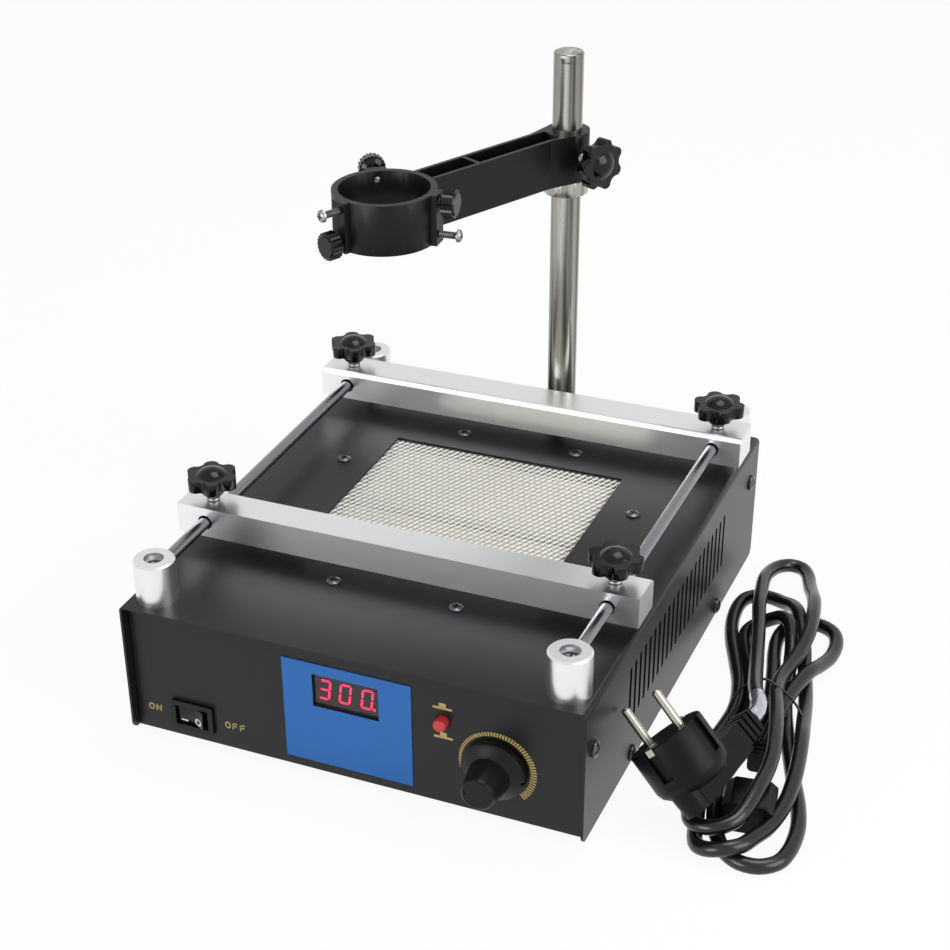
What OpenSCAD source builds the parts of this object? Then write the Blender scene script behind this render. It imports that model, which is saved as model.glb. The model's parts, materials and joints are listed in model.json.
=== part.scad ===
// Infrared preheater for circuit boards, with a sliding board holder, a swinging tool arm
// and its mains lead. Millimetres, +Z up, the front panel faces -Y.
// The origin lies on the bench, under the middle of the box round housing and knob.

/* [Housing] */
// Outside width of the cover
body_w = 230; // [215:1:260]
// Outside depth of the cover
body_d = 270; // [262:1:300]
// Height of the cover
body_h = 70; // [66:1:90]
// Sheet thickness of the cover
cover_t = 1.2; // [0.8:0.1:2]
// Sheet thickness of the chassis
chassis_t = 1.2; // [0.8:0.1:2]
// Outside radius of the cover's bends
bend_r = 2.4; // [2:0.1:4]
// Corner radius at the lower ends of the cover's sides
side_corner_r = 4; // [2:0.5:8]
// How far the cover stands past the front and back panels
lip = 5; // [3:0.5:8]
// Clearance between cover and chassis
shell_gap = 0.3; // [0.1:0.1:0.6]
// Height of the rubber feet
foot_h = 6; // [4:0.5:10]
// Diameter of the rubber feet
foot_d = 16; // [12:1:20]
// Distance of the feet from the cover's edges
foot_inset = 26; // [22:1:40]

/* [Side vents] */
// Number of slots on each side
slot_count = 22; // [10:1:24]
// Width of a slot
slot_w = 3; // [2:0.1:4]
// Length of a slot
slot_len = 30.6; // [20:0.2:36]
// Distance from slot to slot
slot_pitch = 7.03; // [5:0.01:7.5]
// Distance of the first slot from the front edge
slot_first = 60.3; // [40:0.1:70]
// Height of the slots' lower ends over the cover's lower edge
slot_z = 26; // [20:0.5:30]

/* [Screws] */
// Thread diameter of the sheet metal screws
screw_d = 3; // [2.5:0.1:3.5]
// Head diameter of the screws on the sides
screw_head_d = 8; // [6:0.1:9]
// Head height of the screws on the sides
screw_head_h = 2; // [1.5:0.1:2.6]
// Head diameter of the screws round the guard
guard_head_d = 7; // [6:0.1:8]
// Head height of the screws round the guard
guard_head_h = 1.4; // [1:0.1:2.2]
// Distance of the front panel's screws from the cover's front edge
front_screw_y = 11.3; // [9:0.1:14]
// Height of the front panel's screws over the cover's lower edge
front_screw_z = 45.2; // [40:0.1:54]
// Distance of the back panel's screws from the cover's back edge
rear_screw_y = 13.2; // [9:0.1:14]
// Height of the back panel's screws over the cover's lower edge
rear_screw_z = 50.2; // [40:0.1:54]
// Height of the lower screws over the cover's lower edge
low_screw_z = 5; // [4:0.5:8]
// Distance of the lower screws from the middle of the housing
low_screw_y = 68.5; // [50:0.5:90]

/* [Heater] */
// Width of the opening in the cover
open_w = 125; // [115:1:132]
// Depth of the opening in the cover
open_d = 128; // [120:1:132]
// How far the opening lies behind the middle of the housing
open_y = 2.7; // [0:0.1:6]
// Distance between the two guard screws on one side
guard_screw_pitch = 62.6; // [40:0.2:80]
// Distance of the guard screws from the opening
guard_screw_edge = 16.5; // [12:0.5:20]
// Length of a ceramic plate
plate_w = 122; // [100:1:124]
// Depth of a ceramic plate
plate_d = 60; // [50:1:61]
// Thickness of a ceramic plate
plate_t = 9; // [6:0.5:12]
// Gap between the two plates
plate_gap = 4; // [3.6:0.2:6]
// Depth of the plates' faces below the guard
plate_drop = 2; // [1.5:0.5:9]
// Width of one diamond of the guard
mesh_w = 3.2; // [3:0.1:6]
// Length of one diamond of the guard
mesh_l = 4.4; // [4:0.1:9]
// Width of the guard's strands
strand_w = 0.7; // [0.5:0.05:1]
// Thickness of one layer of strands
strand_t = 0.6; // [0.4:0.05:0.8]

/* [Board holder] */
// Diameter of the corner posts
post_d = 20; // [17:0.5:22]
// Height of the corner posts
post_h = 21.4; // [20:0.2:30]
// Distance of the posts from the cover's sides
post_inset_x = 13; // [12:0.5:18]
// Distance of the posts from the cover's front and back edges
post_inset_y = 14; // [12:0.5:18]
// Diameter of the rods
rod_d = 6; // [5:0.1:7]
// Height of the rods over the deck
rod_z = 14.5; // [13:0.1:16]
// Depth of a bar
bar_d = 20; // [18:0.5:22]
// Height of a bar
bar_h = 15.5; // [14:0.5:17]
// How far a bar stands past the housing on each side
bar_over = 1.8; // [0:0.1:3]
// Diameter of the bores that run on the rods
bar_bore = 7.6; // [7:0.1:8.4]
// Depth of the rabbet on a bar's inner edge
rabbet_y = 2.5; // [1:0.1:3.5]
// Height of the rabbet on a bar's inner edge
rabbet_z = 2; // [1:0.1:2.6]
// Distance of the front bar from the cover's front edge
front_bar_y = 72; // [60:1:80]
// Distance of the rear bar from the cover's back edge
rear_bar_y = 38; // [38:1:60]

/* [Star knobs] */
// Diameter of a star knob over its lobes
star_d = 25.5; // [24:0.5:29]
// Height of the lobed rim
star_rim_h = 6; // [5:0.2:8]
// Height of the conical hub below the rim
star_hub_h = 4.5; // [3:0.1:6]
// Height of the dome over the rim
star_dome_h = 3.2; // [1.5:0.1:4]
// Diameter of the threaded studs
stud_d = 5; // [4:0.1:5.6]
// Visible length of a bar stud
stud_show = 3.6; // [2:0.1:6]

/* [Column and arm] */
// Diameter of the column
column_d = 15; // [13:0.5:16]
// Height of the column over the deck, with its cap
column_h = 198.4; // [180:0.2:260]
// Height of the column's cap
cap_h = 4.3; // [3:0.1:8]
// Distance of the column from the middle of the housing, to the right
column_x = 9; // [-40:1:40]
// Distance of the column from the cover's back edge
column_inset = 13; // [12:0.5:13.5]
// Height of the arm's underside over the deck
arm_z = 134.8; // [120:0.2:150]
// Height of the arm, its ring and its clamp boss
arm_h = 24.5; // [22:0.5:30]
// Distance from the column to the ring's centre
arm_reach = 117; // [100:1:140]
// Swing of the arm to the left of straight ahead, in degrees
arm_swing = 26.7; // [0:0.1:60]
// Width of the arm
arm_w = 15; // [13:0.5:17]
// Wall thickness of the arm
arm_wall = 2; // [1.5:0.1:3]
// Distance of the cross rib from the column
arm_rib = 63.5; // [40:0.5:70]
// Diameter of the clamp boss
boss_d = 22.5; // [21.5:0.5:26]
// Outside diameter of the tool ring
ring_d = 50; // [46:0.5:56]
// Bore of the tool ring
ring_bore = 43.8; // [40:0.2:44]
// Diameter of the stop collar
collar_d = 22; // [20:0.5:24]
// Height of the stop collar
collar_h = 7.5; // [7:0.1:10]
// Running clearance on the column, on the radius
column_fit = 0.06; // [0.02:0.01:0.1]
// Diameter of the thumb screws' heads
thumb_d = 13.6; // [12:0.1:15]
// Length of the thumb screws' heads
thumb_l = 7.5; // [6:0.5:9]
// Thread diameter of the ring's screws
ring_screw_d = 3.5; // [3:0.1:4]

/* [Front panel] */
// Place of the rocker switch, from the middle
rocker_x = -82.8; // [-90:0.1:-70]
// Height of the rocker switch over the cover's lower edge
rocker_z = 12.9; // [10:0.1:40]
// Width of the rocker switch's frame
rocker_w = 22.5; // [20:0.1:24]
// Height of the rocker switch's frame
rocker_h = 15.8; // [14:0.1:17]
// Place of the label plate's centre, from the middle
label_x = -0.8; // [-3:0.1:3]
// Width of the label plate
label_w = 64.4; // [50:0.2:70]
// Height of the label plate
label_h = 55.2; // [40:0.2:58]
// Height of the label plate's lower edge over the cover's lower edge
label_z = 4.9; // [3:0.1:8]
// Place of the display's centre, from the middle
window_x = -1.3; // [-4:0.1:4]
// Width of the display window
window_w = 33.2; // [26:0.2:40]
// Height of the display window
window_h = 17.7; // [12:0.1:20]
// Height of the display's centre over the cover's lower edge
window_z = 45.5; // [40:0.5:50]
// Place of the push button, from the middle
button_x = 46.6; // [40:0.1:50]
// Height of the push button over the cover's lower edge
button_z = 45.4; // [35:0.1:50]
// Diameter of the push button
button_d = 6.2; // [5:0.1:9]
// How far the push button stands out
button_out = 5; // [3.5:0.1:8]
// Travel of the push button
button_travel = 2.5; // [1:0.1:3]
// Place of the temperature knob, from the middle
dial_x = 71.8; // [68:0.1:80]
// Height of the temperature knob over the cover's lower edge
dial_z = 27.2; // [24:0.1:36]
// Diameter of the temperature knob's skirt
dial_d = 30; // [24:0.5:32]
// Length of the temperature knob
dial_l = 22; // [18:0.5:26]
// Diameter of the temperature knob's face
dial_face_d = 15.4; // [12:0.2:17]

/* [Mains lead] */
// Diameter of the cable
cable_d = 7.2; // [6:0.1:8]
// Width of the hank
hank_w = 60; // [52:1:66]

/* [Hidden] */
$fn = 48;

dial_gap = 0.8;
mid_y = (dial_l + dial_gap - lip) / 2;
front_y = mid_y - body_d / 2;
back_y = mid_y + body_d / 2;
side_x = body_w / 2;
base_z = foot_h;
deck_z = foot_h + body_h;
under_z = deck_z - cover_t;
panel_y = front_y + lip;
rear_panel_y = back_y - lip;
chassis_w = body_w - 2 * (cover_t + shell_gap);
floor_z = base_z + chassis_t;
flange_h = 11;

heat_y = mid_y + open_y;
mesh_t = 2 * strand_t;
mesh_edge = 4;
mesh_z = under_z - mesh_t;
tray_t = 1;
tray_lap = 2;
plate_clear = 1;
tray_in_w = max(open_w + 2 * mesh_edge - 2 * tray_lap, plate_w + 2 * plate_clear);
tray_in_d = max(open_d + 2 * mesh_edge - 2 * tray_lap, 2 * plate_d + plate_gap + 2 * plate_clear);
guard_w = tray_in_w + 2 * tray_lap;
guard_d = tray_in_d + 2 * tray_lap;
tray_rim = guard_screw_edge + 6;
plate_z = mesh_z - plate_drop;
hub_h = 10;
tray_floor_z = plate_z - plate_t - hub_h;
hub_w = 26;
hub_d = 14;
clip_t = 1.5;

post_x = side_x - post_inset_x;
post_fy = front_y + post_inset_y;
post_by = back_y - post_inset_y;
post_bore = 9.5;
post_bore_z = 6;
post_screw_d = 4;
rod_seat = 4.4;
fit_gap = 0.05;
bar_w = body_w + 2 * bar_over;
bar_z = deck_z + rod_z - bar_h / 2;
bar_top = bar_z + bar_h;
bar_fy = front_y + front_bar_y;
bar_by = back_y - rear_bar_y;
stud_gap = 0.4;
stud_tip_z = deck_z + rod_z + rod_d / 2 + stud_gap;

column_y = back_y - column_inset;
column_top = deck_z + column_h;
arm_z0 = deck_z + arm_z;
ring_wall = (ring_d - ring_bore) / 2;
pad_out = 2.5;
pad_w = 9;
ring_low_z = 4.5;
ring_high_z = 20;
// angle of each pad of the ring, from the line back to the column
pad_back = 60;
pad_right = -60;
pad_left = 180;
tip_set = 0.3;
thumb_near = 1.2;
thumb_far = 8;
screw_out = 8.6;
clamp_hub = 16;
clamp_z = 12.5;

window_t = 1.5;
rocker_pivot = 3;
rocker_lean = -9;
pcb_y = panel_y + chassis_t + 13;
pcb_t = 1.6;
shaft_d = 6;
bush_d = 7;
bush_out = 2.8;
foot_pin_d = 6;
probe_d = 3;
inlet_x = -60;
inlet_z = base_z + 34;
inlet_w = 27;
inlet_h = 20;
inlet_screw_x = 20;

// the plug rests on the hank and leans its pins towards the housing
plug_at = [side_x + 22, front_y + 42.4, 43.9];
plug_turn = [-9.1, -44.8, -0.2];
outlet_turn = [0, -5.4, 80.5];
pin_d = 4.2;
pin_l = 19;
pin_pitch = 19;
plug_d = 37;
plug_l = 33;
plug_head = 20;
hank_h = 2 * cable_d + 0.6;
hank_band = 2 * cable_d + 0.6;
hank_front = [side_x + 61, front_y + 46];
hank_back = [side_x + 36, front_y + 233];
hank_angle = atan2(hank_back[1] - hank_front[1], hank_back[0] - hank_front[0]);

// mirrored pair to the left and right
module pair_x(x) {
    for (s = [-1, 1]) translate([s * x, 0, 0]) children();
}

// same shape at the four corners of a rectangle
module corners(x, y0, y1) {
    for (s = [-1, 1], y = [y0, y1]) translate([s * x, y, 0]) children();
}

// outline w wide and h high whose two upper corners are round
module round_top(w, h, r) {
    translate([-w / 2, 0]) square([w, h - r]);
    translate([-w / 2 + r, 0]) square([w - 2 * r, h]);
    pair_x(w / 2 - r) translate([0, h - r]) circle(r);
}

// rectangle with four round corners, centred
module round_rect(w, h, r) {
    square([w - 2 * r, h], center = true);
    square([w, h - 2 * r], center = true);
    for (x = [-1, 1], y = [-1, 1]) translate([x * (w / 2 - r), y * (h / 2 - r)]) circle(r);
}

// slot with round ends, upright, its lower end at the origin
module slot_outline(w, l) {
    translate([-w / 2, w / 2]) square([w, l - w]);
    translate([0, w / 2]) circle(d = w);
    translate([0, l - w / 2]) circle(d = w);
}

// screw with a low domed head and a cross recess, head up, seat at the origin
module pan_screw(d, l, head_d, head_h) {
    difference() {
        union() {
            cylinder(d = head_d, h = head_h * 0.55);
            translate([0, 0, head_h * 0.55]) cylinder(d1 = head_d, d2 = head_d * 0.55, h = head_h * 0.45);
        }
        for (a = [0, 90]) rotate([0, 0, a])
            translate([-head_d * 0.28, -head_d * 0.06, head_h * 0.45])
                cube([head_d * 0.56, head_d * 0.12, head_h]);
    }
    translate([0, 0, -l]) cylinder(d = d, h = l);
}

// the eight places of the guard screws round the opening
module guard_places() {
    for (s = [-1, 1], t = [-1, 1]) {
        translate([s * guard_screw_pitch / 2, heat_y + t * (open_d / 2 + guard_screw_edge), 0]) children();
        translate([s * (open_w / 2 + guard_screw_edge), heat_y + t * guard_screw_pitch / 2, 0]) children();
    }
}

// the four places of the screws on the right side, axis along +X
module side_places() {
    for (p = [[front_y + front_screw_y, front_screw_z], [back_y - rear_screw_y, rear_screw_z]])
        translate([side_x, p[0], base_z + p[1]]) rotate([0, 90, 0]) children();
    for (y = [mid_y - low_screw_y, mid_y + low_screw_y])
        translate([side_x, y, base_z + low_screw_z]) rotate([0, 90, 0]) children();
}

// both sides of the housing
module both_sides() {
    children();
    mirror([1, 0, 0]) children();
}

module cover() {
    color("#303034") difference() {
        intersection() {
            translate([0, back_y, base_z]) rotate([90, 0, 0]) linear_extrude(body_d) difference() {
                round_top(body_w, body_h, bend_r);
                translate([0, -1])
                    round_top(body_w - 2 * cover_t, body_h - cover_t + 1, bend_r - cover_t);
            }
            translate([-side_x - 1, 0, deck_z]) rotate([90, 0, 90]) linear_extrude(body_w + 2)
                translate([mid_y, 0]) mirror([0, 1]) round_top(body_d, body_h, side_corner_r);
        }
        translate([-open_w / 2, heat_y - open_d / 2, deck_z - 5]) cube([open_w, open_d, 10]);
        translate([0, front_y + slot_first, base_z + slot_z]) rotate([90, 0, 90])
            translate([0, 0, -side_x - 1]) linear_extrude(body_w + 2)
                for (i = [0 : slot_count - 1]) translate([i * slot_pitch, 0]) slot_outline(slot_w, slot_len);
        guard_places() translate([0, 0, deck_z - 5]) cylinder(d = screw_d + 0.4, h = 10);
        both_sides() side_places() translate([0, 0, -4]) cylinder(d = screw_d + 0.4, h = 8);
        corners(post_x, post_fy, post_by)
            translate([0, 0, deck_z - 5]) cylinder(d = post_screw_d + 0.4, h = 10);
        translate([column_x, column_y, deck_z - 5]) cylinder(d = post_screw_d + 2.4, h = 10);
    }
}

module chassis() {
    panel_h = body_h - cover_t - shell_gap;
    depth = body_d - 2 * lip;
    color("#2e2e32") difference() {
        union() {
            // bottom, front and back from one bent sheet
            translate([-chassis_w / 2, 0, base_z]) rotate([90, 0, 90]) linear_extrude(chassis_w) {
                translate([panel_y, 0]) square([depth, chassis_t]);
                translate([panel_y, 0]) square([chassis_t, panel_h]);
                translate([rear_panel_y - chassis_t, 0]) square([chassis_t, panel_h]);
            }
            // flanges for the cover's screws
            both_sides() {
                translate([chassis_w / 2 - chassis_t, panel_y + 16, base_z])
                    cube([chassis_t, depth - 32, flange_h]);
                for (y = [panel_y, rear_panel_y - flange_h])
                    translate([chassis_w / 2 - chassis_t, y, base_z + 14])
                        cube([chassis_t, flange_h, panel_h - 18]);
            }
        }
        both_sides() side_places() translate([0, 0, -8]) cylinder(d = screw_d + 0.2, h = 10);
        // front panel
        translate([rocker_x, panel_y - 1, base_z + rocker_z]) rotate([-90, 0, 0])
            linear_extrude(chassis_t + 2) square([rocker_w - 3, rocker_h - 3], center = true);
        translate([window_x - window_w / 2, panel_y - 1, base_z + window_z - window_h / 2])
            cube([window_w, chassis_t + 2, window_h]);
        translate([button_x, panel_y - 1, base_z + button_z]) rotate([-90, 0, 0])
            cylinder(d = button_d + 0.8, h = chassis_t + 2);
        translate([dial_x, panel_y - 1, base_z + dial_z]) rotate([-90, 0, 0])
            cylinder(d = bush_d + 0.2, h = chassis_t + 2);
        // back panel
        translate([inlet_x, rear_panel_y + 1, inlet_z]) rotate([90, 0, 0]) {
            linear_extrude(chassis_t + 2) square([inlet_w + 0.4, inlet_h + 0.4], center = true);
            pair_x(inlet_screw_x) cylinder(d = screw_d + 0.2, h = chassis_t + 2);
        }
        // bottom: feet and cooling slots under the heater
        corners(side_x - foot_inset, front_y + foot_inset, back_y - foot_inset)
            translate([0, 0, base_z - 1]) cylinder(d = foot_pin_d + 0.2, h = chassis_t + 2);
        for (i = [-4 : 4]) translate([i * 14, heat_y - 30, base_z - 1]) linear_extrude(chassis_t + 2)
            slot_outline(4, 60);
    }
}

module feet() {
    color("#1b1b1b") corners(side_x - foot_inset, front_y + foot_inset, back_y - foot_inset) {
        cylinder(d1 = foot_d - 2, d2 = foot_d, h = foot_h);
        translate([0, 0, foot_h]) cylinder(d = foot_pin_d, h = chassis_t);
        translate([0, 0, foot_h + chassis_t]) cylinder(d1 = foot_pin_d + 2, d2 = foot_pin_d - 2, h = 2.5);
    }
}

module cover_screws() {
    color("#3c3c3c") both_sides() side_places()
        pan_screw(screw_d, 6, screw_head_d, screw_head_h);
}

module guard_screws() {
    color("#2a2a2a") guard_places() translate([0, 0, deck_z])
        pan_screw(screw_d, 6, guard_head_d, guard_head_h);
}

// parallel strands that lean to one side, cut to the guard's outline
module strands(lean) {
    angle = atan2(mesh_w / 2, mesh_l / 2) * lean;
    n = ceil((guard_w + guard_d * mesh_w / mesh_l) / mesh_w / 2);
    intersection() {
        square([guard_w, guard_d], center = true);
        for (i = [-n : n]) translate([i * mesh_w, 0]) rotate(angle)
            square([strand_w, 2 * guard_d], center = true);
    }
}

module mesh_guard() {
    color("#c9c9c4") translate([0, heat_y, mesh_z]) {
        linear_extrude(strand_t) strands(1);
        translate([0, 0, strand_t]) linear_extrude(strand_t) strands(-1);
    }
}

module heater_tray() {
    wall_h = mesh_z - tray_floor_z;
    rim_w = open_w + 2 * tray_rim;
    rim_d = open_d + 2 * tray_rim;
    color("#b9bcc0") translate([0, heat_y, 0]) difference() {
        union() {
            translate([-rim_w / 2, -rim_d / 2, mesh_z - tray_t]) cube([rim_w, rim_d, tray_t]);
            translate([-tray_in_w / 2 - tray_t, -tray_in_d / 2 - tray_t, tray_floor_z - tray_t])
                cube([tray_in_w + 2 * tray_t, tray_in_d + 2 * tray_t, wall_h + tray_t]);
        }
        translate([-tray_in_w / 2, -tray_in_d / 2, tray_floor_z])
            cube([tray_in_w, tray_in_d, wall_h + 1]);
        translate([0, -heat_y, mesh_z - tray_t - 1]) guard_places() cylinder(d = screw_d + 0.2, h = tray_t + 2);
        for (s = [-1, 1]) translate([0, s * (plate_d + plate_gap) / 2, tray_floor_z - tray_t - 1])
            linear_extrude(tray_t + 2) square([hub_w - 6, hub_d - 4], center = true);
        translate([tray_in_w / 2 - 1, 0, plate_z - plate_t / 2]) rotate([0, 90, 0])
            cylinder(d = probe_d + 0.2, h = tray_t + 2);
    }
}

// ceramic plate with bevelled edges, its face up, hub and neck below
module plate() {
    bevel = 2;
    intersection() {
        rotate([90, 0, 90]) translate([0, 0, -plate_w / 2]) linear_extrude(plate_w)
            bevelled(plate_d, plate_t, bevel);
        rotate([90, 0, 0]) translate([0, 0, -plate_d / 2]) linear_extrude(plate_d)
            bevelled(plate_w, plate_t, bevel);
    }
    translate([-hub_w / 2, -hub_d / 2, -plate_t - hub_h]) cube([hub_w, hub_d, hub_h + 1]);
    translate([-hub_w / 2 + 3.2, -hub_d / 2 + 2.2, -plate_t - hub_h - tray_t - clip_t - 3])
        cube([hub_w - 6.4, hub_d - 4.4, 4 + tray_t + clip_t]);
}

module bevelled(w, t, b) {
    polygon([[-w / 2 + b, 0], [w / 2 - b, 0], [w / 2, -b], [w / 2, -t], [-w / 2, -t], [-w / 2, -b]]);
}

module plate_front() {
    color("#efece0") translate([0, heat_y - (plate_d + plate_gap) / 2, plate_z]) plate();
}

module plate_rear() {
    color("#efece0") translate([0, heat_y + (plate_d + plate_gap) / 2, plate_z]) plate();
}

module plate_clips() {
    color("silver") for (s = [-1, 1])
        translate([0, heat_y + s * (plate_d + plate_gap) / 2, tray_floor_z - tray_t - clip_t])
            linear_extrude(clip_t) difference() {
                square([hub_w + 12, hub_d + 8], center = true);
                square([hub_w - 6.4, hub_d - 4.4], center = true);
            }
}

module thermocouple() {
    color("#8f9499") translate([0, heat_y, plate_z - plate_t / 2]) rotate([0, 90, 0]) {
        cylinder(d = probe_d, h = tray_in_w / 2 + tray_t + 14);
        translate([0, 0, tray_in_w / 2 + tray_t]) cylinder(d = probe_d + 4, h = 5);
    }
}

module front_label() {
    t = 0.5;
    color("#3a72b8") translate([0, panel_y - t, base_z]) difference() {
        translate([label_x - label_w / 2, 0, label_z]) cube([label_w, t, label_h]);
        translate([window_x - window_w / 2, -1, window_z - window_h / 2]) cube([window_w, t + 2, window_h]);
    }
}

module display_window() {
    color("#2a0c12") translate([window_x, panel_y + chassis_t, base_z + window_z]) rotate([-90, 0, 0])
        linear_extrude(window_t) square([window_w + 4, window_h + 3], center = true);
}

module display() {
    color("#1a1a1c") translate([window_x, panel_y + chassis_t + window_t, base_z + window_z])
        rotate([-90, 0, 0]) linear_extrude(pcb_y - panel_y - chassis_t - window_t)
            square([window_w + 4, window_h + 3], center = true);
}

module rocker_frame() {
    w = rocker_w - 3.2;
    h = rocker_h - 3.2;
    color("#1c1c1e") translate([rocker_x, panel_y, base_z + rocker_z]) difference() {
        union() {
            rotate([90, 0, 0]) linear_extrude(2) round_rect(rocker_w, rocker_h, 1.2);
            rotate([-90, 0, 0]) linear_extrude(18) square([w, h], center = true);
            pair_x(w / 4) translate([-0.4, 18, -2.4]) cube([0.8, 8, 4.8]);
        }
        translate([-w / 2 + 1, -3, -h / 2 + 1]) cube([w - 2, 13, h - 2]);
    }
}

module rocker() {
    w = rocker_w - 7.9;
    h = rocker_h - 6;
    r = 26;
    color("#202022") translate([rocker_x, panel_y + rocker_pivot, base_z + rocker_z])
        rotate([0, 0, rocker_lean]) translate([0, 0, -h / 2]) linear_extrude(h) {
            difference() {
                translate([-w / 2, -rocker_pivot - 3]) square([w, rocker_pivot + 3]);
                translate([0, -rocker_pivot - 1 - r]) circle(r, $fn = 96);
            }
            circle(d = 5);
        }
}

module push_switch() {
    color("#2b2b2b") translate([button_x, panel_y + chassis_t + 4, base_z + button_z]) rotate([-90, 0, 0])
        difference() {
            linear_extrude(pcb_y - panel_y - chassis_t - 4) square([9, 9], center = true);
            translate([0, 0, -1]) cylinder(d = 5.4, h = 8);
        }
}

module push_button() {
    color("#c42a32") translate([button_x, panel_y - button_out, base_z + button_z]) rotate([-90, 0, 0]) {
        cylinder(d1 = button_d - 0.8, d2 = button_d, h = 0.6);
        translate([0, 0, 0.6]) cylinder(d = button_d, h = button_out + 0.6);
        translate([0, 0, button_out + 1]) cylinder(d = 4.6, h = chassis_t + 5);
    }
}

module pot() {
    color("#a5a7aa") translate([dial_x, panel_y + chassis_t, base_z + dial_z]) rotate([-90, 0, 0])
    difference() {
        union() {
            cylinder(d = 17, h = 9.5);
            translate([0, 0, -chassis_t - bush_out]) cylinder(d = bush_d, h = chassis_t + bush_out + 1);
            translate([0, 0, -chassis_t - 2]) cylinder(d = 11.5, h = 2, $fn = 6);
            translate([-6, 4, 6]) cube([12, 10, 1.2]);
        }
        translate([0, 0, -chassis_t - 5]) cylinder(d = shaft_d + 0.12, h = 14);
    }
}

module dial_shaft() {
    color("silver") translate([dial_x, panel_y - dial_gap - dial_l + 3.4, base_z + dial_z]) rotate([-90, 0, 0])
        cylinder(d = shaft_d, h = dial_l + 4);
}

// temperature knob: hollow skirt, tapered grip, pointer dot sunk in the face, notch in the skirt
module dial() {
    r = dial_d / 2;
    f = dial_face_d / 2;
    color("#1d1d1f") translate([dial_x, panel_y - dial_gap, base_z + dial_z]) rotate([90, 0, 0]) difference() {
        rotate_extrude($fn = 96) polygon([[0, 2.5], [r - 1.6, 2.5], [r - 1.6, 0], [r, 0], [r, 3.6],
            [f + 2.2, 7.4], [f, dial_l - 0.8], [f - 0.8, dial_l], [0, dial_l]]);
        translate([0, 0, -1]) cylinder(d = shaft_d + 0.02, h = dial_l - 2.2);
        translate([-f + 2.2, 0, dial_l - 0.6]) cylinder(d = 1.2, h = 1);
        rotate([0, 0, -8]) translate([r - 1.2, -0.8, 1]) cube([3, 1.6, 6]);
    }
}

module control_board() {
    w = 150;
    h = 46;
    color("#2f6b3c") translate([8, pcb_y, base_z + 14]) {
        translate([-w / 2, 0, 0]) difference() {
            cube([w, pcb_t, h]);
            translate([dial_x - 8 + w / 2, -1, dial_z - 14]) rotate([-90, 0, 0])
                cylinder(d = 20, h = pcb_t + 2);
            translate([w, -1, -1]) mirror([1, 0, 0]) cube([w / 2 + 8 - dial_x + 10, pcb_t + 2, dial_z - 12]);
            for (x = [6, w / 2 + 28], z = [6, h - 6]) translate([x, -1, z]) rotate([-90, 0, 0])
                cylinder(d = 3.2, h = pcb_t + 2);
        }
        for (i = [0 : 3]) translate([-50 + i * 14, pcb_t, 8]) cube([8, 5, 12]);
        for (i = [0 : 2]) translate([-40 + i * 18, pcb_t, 32]) rotate([-90, 0, 0]) cylinder(d = 8, h = 11);
    }
}

module board_spacers() {
    color("#c9a94e") for (x = [6, 150 / 2 + 28], z = [6, 46 - 6])
        translate([8 - 75 + x, panel_y + chassis_t, base_z + 14 + z]) rotate([-90, 0, 0])
            cylinder(d = 5.5, h = pcb_y - panel_y - chassis_t, $fn = 6);
}

module transformer() {
    color("#6c6f74") translate([48, rear_panel_y - 26, floor_z]) {
        difference() {
            translate([-22, -16, 0]) cube([44, 32, 37]);
            for (x = [-14.5, 5.5]) translate([x, -17, 7]) cube([9, 34, 23]);
        }
        translate([-14.4, -20, 7.1]) cube([8.8, 40, 22.8]);
        translate([5.6, -20, 7.1]) cube([8.8, 40, 22.8]);
        pair_x(28) translate([-7, -8, 0]) cube([14, 16, 1.5]);
    }
}

module heat_sink() {
    translate([-10, rear_panel_y - 24, floor_z]) {
        color("#a9adb2") {
            translate([-20, -9, 0]) cube([40, 3, 34]);
            for (i = [0 : 6]) translate([-20 + i * 6.2, -6.2, 0]) cube([2, 16, 34]);
        }
        color("#222222") translate([-5, -13.6, 12]) cube([10, 4.6, 16]);
    }
}

// appliance inlet: flange, body and the shaped well for the connector
module inlet() {
    color("#1c1c1e") translate([inlet_x, rear_panel_y, inlet_z]) rotate([-90, 0, 0]) difference() {
        union() {
            linear_extrude(3) {
                round_rect(inlet_w + 4, inlet_h + 4, 2);
                pair_x(inlet_screw_x) circle(d = 9);
                square([2 * inlet_screw_x, 9], center = true);
            }
            translate([0, 0, -22]) linear_extrude(23) square([inlet_w, inlet_h], center = true);
        }
        translate([0, 0, -14]) linear_extrude(20)
            polygon([[-12, -5], [-8, -8.4], [8, -8.4], [12, -5], [12, 8.4], [-12, 8.4]]);
        pair_x(inlet_screw_x) translate([0, 0, -1]) cylinder(d = screw_d + 0.3, h = 6);
        inlet_blades(fit_gap);
    }
}

// the three blades of the inlet, grown by a gap
module inlet_blades(gap) {
    for (p = [[-7, 2], [7, 2], [0, -2]]) translate([p[0], p[1], -30]) linear_extrude(28)
        square([2 + 2 * gap, 4 + 2 * gap], center = true);
}

module inlet_pins() {
    color("silver") translate([inlet_x, rear_panel_y, inlet_z]) rotate([-90, 0, 0]) inlet_blades(0);
}

// turned post with a chamfered top and a sunk screw
module posts() {
    for (s = [-1, 1], t = [-1, 1]) color("#d6d7d9")
        translate([s * post_x, t > 0 ? post_by : post_fy, deck_z]) difference() {
            union() {
                cylinder(d = post_d, h = post_h - 0.8);
                translate([0, 0, post_h - 0.8]) cylinder(d1 = post_d, d2 = post_d - 1.6, h = 0.8);
            }
            translate([0, 0, -1]) cylinder(d = post_screw_d + 0.3, h = post_h);
            translate([0, 0, post_h - post_bore_z]) cylinder(d = post_bore, h = post_bore_z + 1);
            translate([0, -t * post_d / 2, rod_z]) rotate([t * -90, 0, 0])
                translate([0, 0, -1]) cylinder(d = rod_d + 2 * fit_gap, h = rod_seat + 1);
        }
}

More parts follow.
